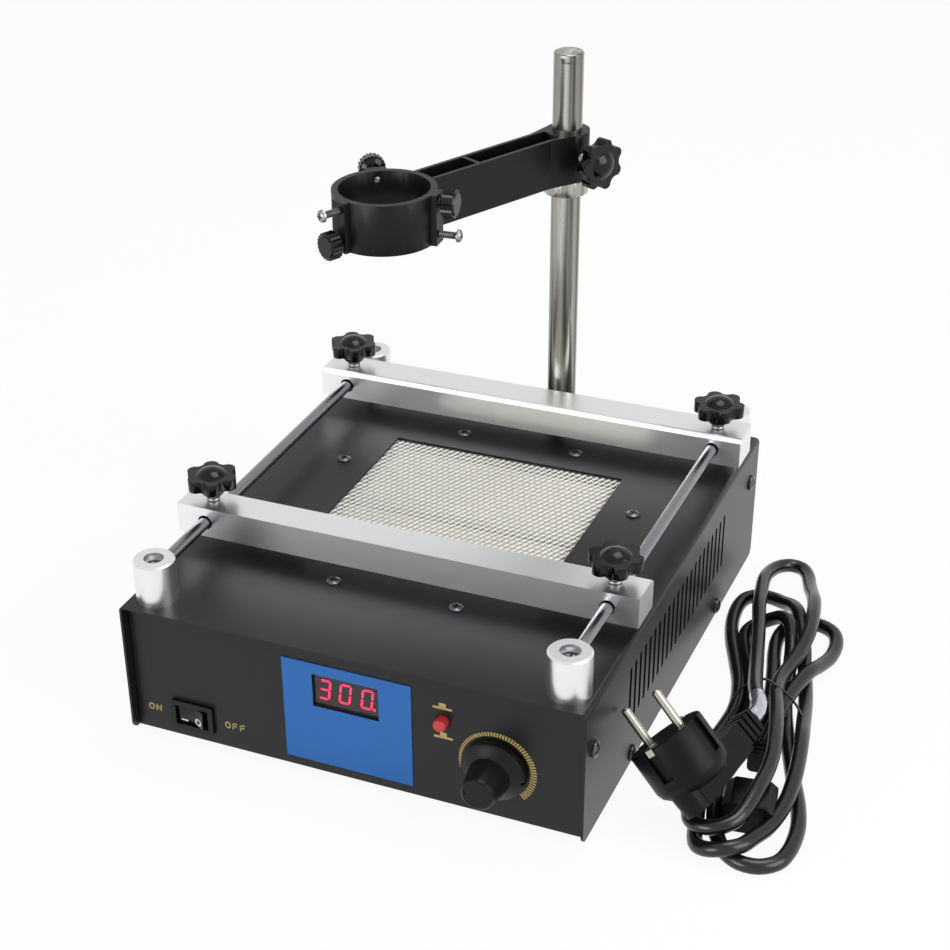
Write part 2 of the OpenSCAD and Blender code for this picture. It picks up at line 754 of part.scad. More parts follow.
module post_screws() {
    color("#8d9094") corners(post_x, post_fy, post_by) translate([0, 0, deck_z + post_h - post_bore_z]) {
        pan_screw(post_screw_d, post_h - post_bore_z + cover_t + 5, 8, 2.8);
        translate([0, 0, -post_h + post_bore_z - cover_t - 3.2]) difference() {
            cylinder(d = 8, h = 3.2, $fn = 6);
            translate([0, 0, -1]) cylinder(d = post_screw_d + 0.1, h = 6);
        }
    }
}

module rods() {
    y0 = post_fy + post_d / 2 - rod_seat + 0.2;
    y1 = post_by - post_d / 2 + rod_seat - 0.2;
    color("#c4c6c8") pair_x(post_x) translate([0, y0, deck_z + rod_z]) rotate([-90, 0, 0])
        cylinder(d = rod_d, h = y1 - y0);
}

// square bar that slides on the rods, its rabbet on the +Y side
module bar() {
    difference() {
        translate([-bar_w / 2, -bar_d / 2, bar_z]) cube([bar_w, bar_d, bar_h]);
        translate([-bar_w / 2 - 1, bar_d / 2 - rabbet_y, bar_top - rabbet_z])
            cube([bar_w + 2, rabbet_y + 1, rabbet_z + 1]);
        pair_x(post_x) {
            translate([0, -bar_d / 2 - 1, deck_z + rod_z]) rotate([-90, 0, 0])
                cylinder(d = bar_bore, h = bar_d + 2);
            translate([0, 0, deck_z + rod_z]) cylinder(d = stud_d + 2 * fit_gap, h = bar_h);
        }
    }
}

module front_bar() {
    color("#d2d3d5") translate([0, bar_fy, 0]) bar();
}

module rear_bar() {
    color("#d2d3d5") translate([0, bar_by, 0]) mirror([0, 1, 0]) bar();
}

// star outline: lobes and hollows are arcs that run into each other
module star(d, lobes, lobe_r) {
    ring = d / 2 - lobe_r;
    step = 360 / lobes;
    hollow = ring * 1.5;
    reach = norm([hollow * cos(step / 2) - ring, hollow * sin(step / 2)]);
    difference() {
        union() {
            polygon([for (i = [0 : lobes - 1], k = [0, 1])
                (k == 0 ? ring : hollow) * [cos((i + k / 2) * step), sin((i + k / 2) * step)]]);
            for (i = [0 : lobes - 1]) rotate(i * step) translate([ring, 0]) circle(lobe_r);
        }
        for (i = [0 : lobes - 1]) rotate((i + 0.5) * step) translate([hollow, 0])
            circle(reach - lobe_r + 0.2);
    }
}

// star knob, the end of its hub at the origin, bored for the stud
module star_knob(lobes) {
    core = star_d * 0.34;
    dome_r = star_d * 0.285;
    cap_r = (dome_r * dome_r + star_dome_h * star_dome_h) / (2 * star_dome_h);
    difference() {
        union() {
            cylinder(r1 = core * 0.58, r2 = core, h = star_hub_h);
            translate([0, 0, star_hub_h]) linear_extrude(star_rim_h)
                star(star_d, lobes, star_d * (lobes > 6 ? 0.12 : 0.155));
            translate([0, 0, star_hub_h + star_rim_h - 0.5]) intersection() {
                translate([0, 0, star_dome_h + 0.5 - cap_r]) sphere(cap_r, $fn = 96);
                cylinder(r = dome_r, h = star_dome_h + 2);
            }
        }
        translate([0, 0, -1]) cylinder(d = stud_d + 0.02, h = star_hub_h + star_rim_h - 1);
    }
}

module bar_knob(x, y) {
    color("#1b1b1d") translate([x, y, bar_top + stud_show]) star_knob(6);
}

module bar_stud(x, y) {
    color("#b4b6b8") translate([x, y, 0]) {
        translate([0, 0, stud_tip_z])
            cylinder(d = stud_d, h = bar_top - stud_tip_z + stud_show + star_hub_h + star_rim_h - 2.5);
        translate([0, 0, bar_top + 0.3]) cylinder(d = stud_d + 1.6, h = 1.4);
    }
}

module knob_fl() { bar_knob(-post_x, bar_fy); }
module knob_fr() { bar_knob(post_x, bar_fy); }
module knob_rl() { bar_knob(-post_x, bar_by); }
module knob_rr() { bar_knob(post_x, bar_by); }
module stud_fl() { bar_stud(-post_x, bar_fy); }
module stud_fr() { bar_stud(post_x, bar_fy); }
module stud_rl() { bar_stud(-post_x, bar_by); }
module stud_rr() { bar_stud(post_x, bar_by); }

module column() {
    color("#cfd1d3") translate([column_x, column_y, deck_z]) difference() {
        cylinder(d = column_d, h = column_h - cap_h);
        translate([0, 0, -1]) cylinder(d = 6.2, h = 21);
        translate([0, 0, column_h - cap_h - 8]) cylinder(d = 8.1, h = 9);
    }
}

module column_cap() {
    color("#d8dadc") translate([column_x, column_y, column_top - cap_h]) {
        cylinder(d = column_d, h = cap_h - 0.6);
        translate([0, 0, cap_h - 0.6]) cylinder(d1 = column_d, d2 = column_d - 1.2, h = 0.6);
        translate([0, 0, -7]) cylinder(d = 8, h = 7.5);
    }
}

module column_bolt() {
    color("#8d9094") translate([column_x, column_y, under_z]) {
        translate([0, 0, -2]) cylinder(d = 12, h = 2);
        translate([0, 0, -6]) cylinder(d = 10.5, h = 4, $fn = 6);
        cylinder(d = 6, h = 18);
    }
}

// stop collar below the arm, with its set screw
module collar() {
    color("#c7c9ca") translate([column_x, column_y, arm_z0 - collar_h]) {
        difference() {
            cylinder(d = collar_d, h = collar_h - 0.02);
            translate([0, 0, -1]) cylinder(d = column_d + 2 * column_fit, h = collar_h + 2);
            rotate([0, 90, 206]) translate([-collar_h / 2, 0, 0]) cylinder(d = 3.1, h = collar_d);
        }
        rotate([0, 0, 206]) translate([collar_d / 2, 0, collar_h / 2]) rotate([0, 90, 0])
            pan_screw(3, (collar_d - column_d) / 2 - 0.3, 5.4, 2);
    }
}

// the arm's own frame: origin on the column's axis at the arm's underside, +X towards the ring
module arm_frame() {
    translate([column_x, column_y, arm_z0]) rotate([0, 0, 270 - arm_swing]) children();
}

// a pad of the ring: +X outwards through the pad, angle from the line back to the column
module pad_frame(a) {
    translate([arm_reach, 0, 0]) rotate([0, 0, 180 + a]) children();
}

// moulded arm: clamp boss, open box beam with a cross rib, ring with three screw pads
module arm() {
    ring_in = arm_reach - ring_d / 2 + 1;
    color("#232326") arm_frame() difference() {
        union() {
            cylinder(d = boss_d, h = arm_h);
            translate([arm_reach, 0, 0]) cylinder(d = ring_d, h = arm_h, $fn = 96);
            difference() {
                translate([6, -arm_w / 2, 0]) cube([ring_in - 6, arm_w, arm_h]);
                translate([boss_d / 2 - 0.5, -arm_w / 2 + arm_wall, arm_wall])
                    cube([arm_rib - arm_wall / 2 - boss_d / 2 + 0.5, arm_w - 2 * arm_wall, arm_h]);
                translate([arm_rib + arm_wall / 2, -arm_w / 2 + arm_wall, arm_wall])
                    cube([ring_in - arm_rib, arm_w - 2 * arm_wall, arm_h]);
            }
            linear_extrude(arm_h) difference() {
                polygon([[3.5, -boss_d / 2 + 0.7], [3.5, boss_d / 2 - 0.7], [18, arm_w / 2], [18, -arm_w / 2]]);
                translate([boss_d / 2 - 0.5, -arm_w / 2 + arm_wall]) square([20, arm_w - 2 * arm_wall]);
            }
            for (a = [pad_back, pad_right, pad_left]) pad_frame(a)
                translate([ring_bore / 2 + 1, -pad_w / 2, 0]) cube([ring_wall + pad_out - 1, pad_w, arm_h]);
        }
        translate([0, 0, -1]) cylinder(d = column_d + 2 * column_fit, h = arm_h + 2);
        translate([arm_reach, 0, -1]) cylinder(d = ring_bore, h = arm_h + 2, $fn = 96);
        for (a = [pad_back, pad_right, pad_left], z = [ring_low_z, ring_high_z]) pad_frame(a)
            translate([ring_bore / 2 - 2, 0, z]) rotate([0, 90, 0])
                cylinder(d = ring_screw_d + 2 * fit_gap, h = 12);
        translate([0, 0, clamp_z]) rotate([-90, 0, 0]) cylinder(d = stud_d + 2 * fit_gap, h = boss_d);
    }
}

module arm_knob() {
    color("#1b1b1d") arm_frame() translate([0, clamp_hub, clamp_z]) rotate([-90, 0, 0]) star_knob(7);
}

module arm_stud() {
    r0 = column_d / 2 + stud_gap;
    color("#b4b6b8") arm_frame() translate([0, r0, clamp_z]) rotate([-90, 0, 0])
        cylinder(d = stud_d, h = clamp_hub - r0 + star_hub_h + star_rim_h - 2.5);
}

// knurled outline
module knurl(d, n) {
    polygon([for (i = [0 : 2 * n - 1]) (d / 2 - (i % 2) * 0.6) * [cos(i * 180 / n), sin(i * 180 / n)]]);
}

// head of a thumb screw, out is the gap between the pad and the head
module thumb(a, z, out) {
    color("#19191b") arm_frame() pad_frame(a) translate([ring_d / 2 + pad_out + out, 0, z]) rotate([0, 90, 0])
        difference() {
            union() {
                cylinder(d1 = thumb_d * 0.55, d2 = thumb_d * 0.85, h = 1.4);
                translate([0, 0, 1.4]) linear_extrude(thumb_l - 2.2) knurl(thumb_d, 20);
                translate([0, 0, thumb_l - 0.8]) cylinder(d1 = thumb_d - 1.7, d2 = thumb_d - 3.2, h = 0.8);
            }
            translate([0, 0, -1]) cylinder(d = ring_screw_d + 0.02, h = thumb_l - 1);
        }
}

// threaded part of a thumb screw
module thumb_tip(a, z, out) {
    color("#b4b6b8") arm_frame() pad_frame(a) translate([ring_bore / 2 + tip_set, 0, z]) rotate([0, 90, 0])
        cylinder(d = ring_screw_d, h = ring_wall + pad_out + out - tip_set + thumb_l - 2.4);
}

module thumb_left() { thumb(pad_left, ring_low_z, thumb_near); }
module thumb_right() { thumb(pad_right, ring_high_z, thumb_near); }
module thumb_back() { thumb(pad_back, ring_high_z, thumb_far); }
module tip_left() { thumb_tip(pad_left, ring_low_z, thumb_near); }
module tip_right() { thumb_tip(pad_right, ring_high_z, thumb_near); }
module tip_back() { thumb_tip(pad_back, ring_high_z, thumb_far); }

module ring_screws() {
    color("#9b9da0") arm_frame()
        for (p = [[pad_left, ring_high_z], [pad_right, ring_low_z], [pad_back, ring_low_z]])
            pad_frame(p[0]) translate([ring_d / 2 + pad_out + screw_out, 0, p[1]]) rotate([0, 90, 0])
                pan_screw(ring_screw_d, screw_out + pad_out + ring_wall - tip_set, 6, 2.4);
}

// the plug's own frame: origin in the middle of its face, +Z along the pins, +X along their line
module plug_frame() {
    translate(plug_at) rotate(plug_turn) children();
}

// the cable outlet's frame: +X along the cable, origin on the plug's axis
module outlet_frame() {
    translate([0, 0, -plug_l + 6]) rotate(outlet_turn) children();
}

// angled two pin plug: round head with guide grooves and clip recesses, outlet with a strain relief
module plug() {
    r = plug_d / 2;
    color("#1a1a1c") plug_frame() difference() {
        union() {
            rotate_extrude($fn = 96) polygon([[0, 0], [r - 0.6, 0], [r, -0.6], [r, -plug_head],
                [r - 1, -plug_head - 3], [r - 3.6, -plug_head - 5.6], [r - 8, -plug_head - 7],
                [0, -plug_head - 7]]);
            outlet_frame() {
                translate([-10, -7.5, -7]) cube([43, 15, 14]);
                translate([-10, 0, -6.8]) cylinder(d = 14.4, h = 13.6);
                for (i = [0 : 3]) translate([34.2 + i * 4, -6, -6]) cube([2.6, 12, 12]);
                translate([32, 0, 0]) rotate([0, 90, 0]) cylinder(d = 9.6, h = 19);
            }
        }
        for (s = [-1, 1]) {
            translate([s * (r - 0.6) - 1.5, -2.4, -plug_head + 3]) cube([3, 4.8, plug_head]);
            translate([-2.8, s * (r - 0.6) - 1.5, -plug_head + 4]) cube([5.6, 3, plug_head]);
            translate([s * pin_pitch / 2, 0, -12]) cylinder(d = pin_d, h = 13);
        }
    }
}

module plug_pins() {
    color("#c9cacb") plug_frame() for (s = [-1, 1]) translate([s * pin_pitch / 2, 0, -12]) {
        cylinder(d = pin_d, h = pin_l + 11);
        translate([0, 0, pin_l + 11]) cylinder(d1 = pin_d, d2 = pin_d - 1.6, h = 1);
    }
}

// appliance connector: shaped nose with three contact slots, grip, ribbed strain relief, cable's start
module connector() {
    color("#1a1a1c") translate([hank_front[0], hank_front[1], 8.2]) rotate([0, 0, hank_angle]) {
        difference() {
            translate([-4, 0, 0]) rotate([90, 0, 90]) linear_extrude(20)
                polygon([[-11.5, -8], [11.5, -8], [11.5, 5], [8, 8], [-8, 8], [-11.5, 5]]);
            for (p = [[-7, -2], [7, -2], [0, 2]])
                translate([-5, p[0] - 1.2, p[1] - 2.2]) cube([14, 2.4, 4.4]);
        }
        translate([16, -9.5, -7.5]) cube([18, 19, 15]);
        for (i = [0 : 3]) translate([35 + i * 4, -6, -6]) cube([2.6, 12, 12]);
        translate([34, 0, 0]) rotate([0, 90, 0]) cylinder(d = 9, h = 18);
        translate([50, 0, 0]) rotate([0, 90, 28]) cylinder(d = cable_d, h = 36);
    }
}

// the hank's outline: a long loop of cables lying on the bench
module hank_outline(r) {
    translate(hank_front) {
        circle(r);
        rotate(hank_angle) translate([0, 0.2 - r]) square([norm(hank_back - hank_front), 2 * r - 0.4]);
    }
    translate(hank_back) circle(r);
}

module lead_hank() {
    color("#151517") linear_extrude(hank_h) difference() {
        hank_outline(hank_w / 2);
        hank_outline(hank_w / 2 - hank_band);
    }
}

cover();
chassis();
feet();
cover_screws();
guard_screws();
mesh_guard();
heater_tray();
plate_front();
plate_rear();
plate_clips();
thermocouple();
front_label();
display_window();
display();
rocker_frame();
rocker();
push_switch();
push_button();
pot();
dial_shaft();
dial();
control_board();
board_spacers();
transformer();
heat_sink();
inlet();
inlet_pins();
posts();
post_screws();
rods();
front_bar();
rear_bar();
knob_fl();
knob_fr();
knob_rl();
knob_rr();
stud_fl();
stud_fr();
stud_rl();
stud_rr();
column();
column_cap();
column_bolt();
collar();
arm();
arm_knob();
arm_stud();
thumb_left();
thumb_right();
thumb_back();
tip_left();
tip_right();
tip_back();
ring_screws();
plug();
plug_pins();
connector();
lead_hank();
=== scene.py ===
import json
import math

import bmesh
import bpy
from mathutils import Matrix, Vector
from mathutils.bvhtree import BVHTree

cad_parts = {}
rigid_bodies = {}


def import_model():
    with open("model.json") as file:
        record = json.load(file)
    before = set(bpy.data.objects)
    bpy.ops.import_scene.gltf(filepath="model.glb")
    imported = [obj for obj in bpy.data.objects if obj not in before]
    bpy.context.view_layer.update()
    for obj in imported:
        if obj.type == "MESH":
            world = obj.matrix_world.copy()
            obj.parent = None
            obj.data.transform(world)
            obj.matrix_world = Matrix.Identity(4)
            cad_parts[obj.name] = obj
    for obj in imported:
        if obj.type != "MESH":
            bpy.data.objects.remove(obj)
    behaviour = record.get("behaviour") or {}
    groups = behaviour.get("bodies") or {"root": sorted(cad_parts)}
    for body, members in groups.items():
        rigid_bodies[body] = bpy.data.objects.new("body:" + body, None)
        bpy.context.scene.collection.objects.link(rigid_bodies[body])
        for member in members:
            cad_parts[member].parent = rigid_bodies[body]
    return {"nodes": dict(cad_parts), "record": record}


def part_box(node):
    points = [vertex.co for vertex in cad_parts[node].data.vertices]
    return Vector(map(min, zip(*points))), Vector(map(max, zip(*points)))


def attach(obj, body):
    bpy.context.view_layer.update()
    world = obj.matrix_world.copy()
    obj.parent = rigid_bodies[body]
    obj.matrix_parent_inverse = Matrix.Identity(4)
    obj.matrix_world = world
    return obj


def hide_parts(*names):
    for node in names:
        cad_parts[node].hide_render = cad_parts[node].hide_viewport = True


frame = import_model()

# The start-up scene's own objects go, so that only the frame is measured.
for leftover in [o for o in bpy.data.objects if o.name in ("Cube", "Light", "Camera")]:
    bpy.data.objects.remove(leftover)
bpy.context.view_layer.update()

# Sizes are in millimetres and become metres here.
MM = 0.001


def low(node):
    """Lowest corner of a CAD node, in millimetres."""
    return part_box(node)[0] / MM


def high(node):
    """Highest corner of a CAD node, in millimetres."""
    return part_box(node)[1] / MM


def middle(node):
    """Middle of a CAD node's box, in millimetres."""
    return (low(node) + high(node)) / 2


# Materials

def linear(code):
    """Linear colour of an sRGB hex code, with alpha."""
    parts = [int(code[i:i + 2], 16) / 255 for i in (1, 3, 5)]
    return [c / 12.92 if c <= 0.04045 else ((c + 0.055) / 1.055) ** 2.4 for c in parts] + [1.0]


def add(tree, kind, sockets=None, **settings):
    """Adds a node with its settings; a socket, by name or number, takes a value or another node's output."""
    made = tree.nodes.new("ShaderNode" + kind)
    for name, value in settings.items():
        setattr(made, name, value)
    for name, value in (sockets or {}).items():
        if isinstance(value, bpy.types.NodeSocket):
            tree.links.new(value, made.inputs[name])
        else:
            made.inputs[name].default_value = value
    return made


def surface(name, colour, roughness, pattern=None, **sockets):
    """A principled material; pattern(tree) returns the sockets that vary over the surface."""
    made = bpy.data.materials.new(name)
    made.use_nodes = True
    tree = made.node_tree
    tree.nodes.clear()
    plain = {"Base Color": linear(colour), "Roughness": roughness}
    plain.update({key.replace("_", " "): value for key, value in sockets.items()})
    plain.update(pattern(tree) if pattern else {})
    shader = add(tree, "BsdfPrincipled", plain)
    add(tree, "OutputMaterial", {"Surface": shader.outputs["BSDF"]})
    return made


def per_mm(size):
    """Texture scale at which one cell of a pattern is that many millimetres."""
    return 1 / (size * MM)


def orange_peel(size, height):
    """Fine uneven skin of a sprayed or moulded surface: cells of a size, bumps of a height, in mm."""
    def pattern(tree):
        place = add(tree, "TexCoord")
        cells = {"Vector": place.outputs["Object"], "Scale": per_mm(size), "Detail": 2.0}
        grain = add(tree, "TexNoise", cells)
        bump = add(tree, "Bump", {"Height": grain.outputs["Fac"], "Strength": 0.5, "Distance": height * MM})
        return {"Normal": bump.outputs["Normal"]}
    return pattern


def painted_reflection_streaks(across, along, reflected_shades, rough):
    """Painted reflection streaks along Z: bands of a width across and a length along, between a dark and a
    light painted shade, with the roughness spread between two values.
    """
    def pattern(tree):
        place = add(tree, "TexCoord")
        scale = [per_mm(across), per_mm(across), per_mm(along)]
        stretch = add(tree, "Mapping", {"Vector": place.outputs["Object"], "Scale": scale})
        streak = add(tree, "TexNoise", {"Vector": stretch.outputs["Vector"], "Scale": 1.0, "Detail": 3.0})
        # Colour between the dark and light shades of the painted reflections.
        colour = add(tree, "ValToRGB", {"Fac": streak.outputs["Fac"]})
        for stop, shade in zip(colour.color_ramp.elements, reflected_shades):
            stop.color = linear(shade)
        colour.color_ramp.elements[0].position = 0.3
        colour.color_ramp.elements[1].position = 0.7
        spread = {"Value": streak.outputs["Fac"], "To Min": rough[0], "To Max": rough[1]}
        gloss = add(tree, "MapRange", spread)
        return {"Base Color": colour.outputs["Color"], "Roughness": gloss.outputs["Result"]}
    return pattern


# Powder coat is sprayed and baked: even, satin, with a fine orange peel.
powder_coat = surface(
    "powder_coat_satin_black", "#18181b", 0.34, orange_peel(0.9, 0.008), Specular_IOR_Level=0.3
)
# Rubber of the feet: dark and dull.
rubber = surface("moulded_rubber_matt", "#202021", 0.85)
# Blackened steel screws are dark with a soft metal shine.
black_steel = surface("blackened_steel", "#626266", 0.25, Metallic=0.9)
# Expanded steel sheet in two painted copies: the broad faces of its strands are painted lighter as lit by the
# lamps, and the thin sheared strands between them are painted darker as shade, and duller.
guard_steel = surface("guard_steel_painted_lit", "#f6f6f4", 0.4, Metallic=0.35)
shaded_guard_steel = surface("guard_steel_painted_shade", "#dad9d0", 0.5, Metallic=0.2)
# Steel round the heater, browned and dulled by heat.
tray_steel = surface("heat_tinted_steel_sheet", "#4f4d4a", 0.5, Metallic=1.0)
sheath = surface("oxidised_steel_sheath", "#3a3734", 0.55, Metallic=1.0)
# Cream glaze on the heater plates: pale, smooth, slightly uneven.
ceramic = surface("glazed_ceramic_cream", "#e9e4d2", 0.3, orange_peel(6, 0.1))
# Ground steel of the screws and studs, drawn steel of the rods, plated pins: from satin to bright.
steel = surface("ground_steel", "#9c9ea0", 0.32, Metallic=1.0)
rod_steel = surface("drawn_steel_rod", "#8d8f92", 0.22, Metallic=1.0)
nickel = surface("nickel_plated_brass", "#b9b5aa", 0.25, Metallic=1.0)
# Screen printed polyester label, flat and satin.
label_blue = surface("printed_polyester_blue", "#2a65ab", 0.5, Specular_IOR_Level=0.25)
# Tinted acrylic in front of the digits: nearly black with a brown cast, glossy.
window_tint = surface("tinted_acrylic", "#241d1c", 0.18)
# Injection moulded ABS with a spark eroded texture.
matt_plastic = surface(
    "moulded_abs_textured", "#0f0f12", 0.36, orange_peel(0.5, 0.01), Specular_IOR_Level=0.22
)
# Polished phenolic of the knobs: deep black with a clear highlight.
gloss_plastic = surface("polished_phenolic", "#070708", 0.18, Specular_IOR_Level=0.3)
# Plain colours of the small parts: red button, green board, yellow metal.
button_red = surface("moulded_abs_red", "#c0343a", 0.4)
board_green = surface("solder_mask_green", "#2f6b3c", 0.35)
brass = surface("turned_brass", "#c9a75a", 0.3, Metallic=1.0)
# Anodised aluminium of the bars and posts: even satin grey, a very fine grain from etching.
aluminium = surface("anodised_aluminium_satin", "#eeeff0", 0.3, orange_peel(0.3, 0.004), Metallic=1.0)
# Stainless steel of the column, polished round its axis; the soft dark and light streaks along it are painted
# reflections.
stainless = surface(
    "polished_stainless_steel",
    "#b3b1ab",
    0.24,
    painted_reflection_streaks(3.2, 600, ("#55534d", "#d2d0c9"), (0.2, 0.26)),
    Metallic=1.0,
)
# PVC jacket of the lead is smooth with a soft shine, the moulded plug duller.
cable_pvc = surface("pvc_cable_jacket", "#111113", 0.25, Specular_IOR_Level=0.5)
plug_pvc = surface("moulded_pvc", "#0d0d0f", 0.4, orange_peel(0.6, 0.01), Specular_IOR_Level=0.15)
# Inks: gold on the panel, white on the rocker.
gold_ink = surface("gold_screen_ink", "#ad965a", 0.5)
white_ink = surface("white_pad_print", "#d9d9d6", 0.5)
# Lit segments glow, unlit ones barely show behind the tint.
lit_segment = surface(
    "led_segment_lit", "#ff2a5c", 0.4, Emission_Color=linear("#ff2a5c"), Emission_Strength=1.0
)
dim_segment = surface("led_segment_unlit", "#33201f", 0.4)
# Silvery film sleeve left on the lead: thin, crumpled and shiny.
film = surface("metallised_film", "#c4c6d2", 0.16, orange_peel(4, 1.2), Metallic=0.8)

SLOT_FINISH = {
    "powder_coat": powder_coat,
    "rubber_foot": rubber,
    "black_screw": black_steel,
    "guard_steel": guard_steel,
    "tray_steel": tray_steel,
    "ceramic": ceramic,
    "steel": steel,
    "label_blue": label_blue,
    "display_red": window_tint,
    "black_plastic": matt_plastic,
    "gloss_black": gloss_plastic,
    "button_red": button_red,
    "board_green": board_green,
    "brass": brass,
    "aluminium": aluminium,
    "chrome": stainless,
    "cable_black": cable_pvc,
}
NODE_FINISH = {"rods": rod_steel, "plug": plug_pvc, "plug_pins": nickel, "thermocouple": sheath}

# Edge rounding in millimetres, and the CAD nodes that have it.
ROUNDED = (
    (0.2, ("column_cap", "thumb_left", "thumb_right", "thumb_back")),
    (0.25, ("rocker", "guard_screws", "cover_screws", "post_screws")),
    (0.3, ("cover", "collar", "dial", "push_button", "inlet")),
    (0.35, ("arm", "rocker_frame")),
    (0.6, ("feet",)),
    (0.8, ("plug", "plate_front", "plate_rear")),
    (0.9, ("knob_fl", "knob_fr", "knob_rl", "knob_rr", "arm_knob")),
)
EDGE = {node: size for size, nodes in ROUNDED for node in nodes}
WELD = 0.001


def dress_nodes():
    """Gives every CAD node its finish and rounds the edges that show."""
    for part in frame["record"]["subparts"]:
        name = part["node"]
        shown = frame["nodes"][name]
        shown.data.materials.clear()
        shown.data.materials.append(NODE_FINISH.get(name, SLOT_FINISH[part["material_slot"]]))
        if name not in EDGE:
            continue
        weld = shown.modifiers.new("weld", "WELD")
        weld.merge_threshold = WELD * MM
        edge = shown.modifiers.new("edge", "BEVEL")
        edge.width = EDGE[name] * MM
        edge.segments = 2
        edge.limit_method = "ANGLE"
        edge.angle_limit = math.radians(35)
        edge.harden_normals = True


# Mesh helpers

def piece(name, points, faces, finish, slot, body, replaces=(), sharp=35):
    """A mesh of points in millimetres that rides a body; edges over the sharp angle stay crisp."""
    mesh = bpy.data.meshes.new(name)
    mesh.from_pydata([Vector(p) * MM for p in points], [], faces)
    shape = bmesh.new()
    shape.from_mesh(mesh)
    bmesh.ops.remove_doubles(shape, verts=shape.verts, dist=WELD * MM)
    bmesh.ops.recalc_face_normals(shape, faces=shape.faces)
    for face in shape.faces:
        face.smooth = True
    for edge in shape.edges:
        edge.smooth = edge.calc_face_angle(math.pi) < math.radians(sharp)
    shape.to_mesh(mesh)
    shape.free()
    made = bpy.data.objects.new(name, mesh)
    bpy.context.collection.objects.link(made)
    mesh.materials.append(finish)
    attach(made, body)
    if replaces:
        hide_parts(*replaces)
    return made


def join(*solids):
    """Several (points, faces) solids as one."""
    points, faces = [], []
    for solid_points, solid_faces in solids:
        first = len(points)
        points += list(solid_points)
        faces += [[i + first for i in face] for face in solid_faces]
    return points, faces


def moved(solid, matrix):
    """A solid moved by a matrix in millimetres."""
    return [matrix @ Vector(p) for p in solid[0]], solid[1]


def rings(loops, closed_ends=True):
    """Skin over rows of points that all have the same count."""
    count = len(loops[0])
    points = [p for loop in loops for p in loop]
    faces = []
    for row in range(len(loops) - 1):
        for i in range(count):
            a, b = row * count + i, row * count + (i + 1) % count
            faces.append([a, b, b + count, a + count])
    if closed_ends:
        faces.append(list(range(count))[::-1])
        faces.append(list(range(len(points) - count, len(points))))
    return points, faces


def circle(radius, z, sides=48):
    """Points of a circle round Z."""
    return [
        (radius * math.cos(2 * math.pi * i / sides), radius * math.sin(2 * math.pi * i / sides), z)
        for i in range(sides)
    ]


def turned(profile, sides=48):
    """A turned solid from (radius, z) pairs along the axis."""
    return rings([circle(max(radius, 0.01), z, sides) for radius, z in profile])


def slab(outline, depth):
    """A flat outline of (x, z) pairs in the panel's plane, depth thick towards -Y from y = 0."""
    back = [(x, 0.0, z) for x, z in outline]
    face = [(x, -depth, z) for x, z in outline]
    return rings([back, face])


def threaded(length, size, pitch, sides=20):
    """A rod along +Z from the origin with a V thread and chamfered ends."""
    rows = max(8, round(length / pitch * 8))
    depth = pitch * 0.5
    loops = []
    for row in range(rows + 1):
        z = length * row / rows
        loop = []
        for i in range(sides):
            wave = abs(((z / pitch - i / sides) % 1) * 2 - 1)
            end = min(z, length - z)
            radius = min(size / 2 - depth * wave, size / 2 - depth + end)
            angle = 2 * math.pi * i / sides
            loop.append((radius * math.cos(angle), radius * math.sin(angle), z))
        loops.append(loop)
    return rings(loops)


def carve(target, solid):
    """Cuts a solid, in millimetres, out of a piece."""
    mesh = bpy.data.meshes.new("cutter")
    mesh.from_pydata([Vector(p) * MM for p in solid[0]], [], solid[1])
    shape = bmesh.new()
    shape.from_mesh(mesh)
    bmesh.ops.recalc_face_normals(shape, faces=shape.faces)
    shape.to_mesh(mesh)
    shape.free()
    cutter = bpy.data.objects.new("cutter", mesh)
    bpy.context.collection.objects.link(cutter)
    cut = target.modifiers.new("cut", "BOOLEAN")
    cut.object = cutter
    cut.solver = "EXACT"
    bpy.context.view_layer.update()
    result = bpy.data.meshes.new_from_object(target.evaluated_get(bpy.context.evaluated_depsgraph_get()))
    target.modifiers.remove(cut)
    target.data = result
    bpy.data.objects.remove(cutter)


def box_solid(size, centre=(0, 0, 0)):
    """A box by its size and middle."""
    x, y, z = (s / 2 for s in size)
    loop = [(-x, -y), (x, -y), (x, y), (-x, y)]
    loops = [[(a + centre[0], b + centre[1], c + centre[2]) for a, b in loop] for c in (-z, z)]
    return rings(loops)


# The mains lead: places that the folded lead passes, from the plug's strain relief to the connector

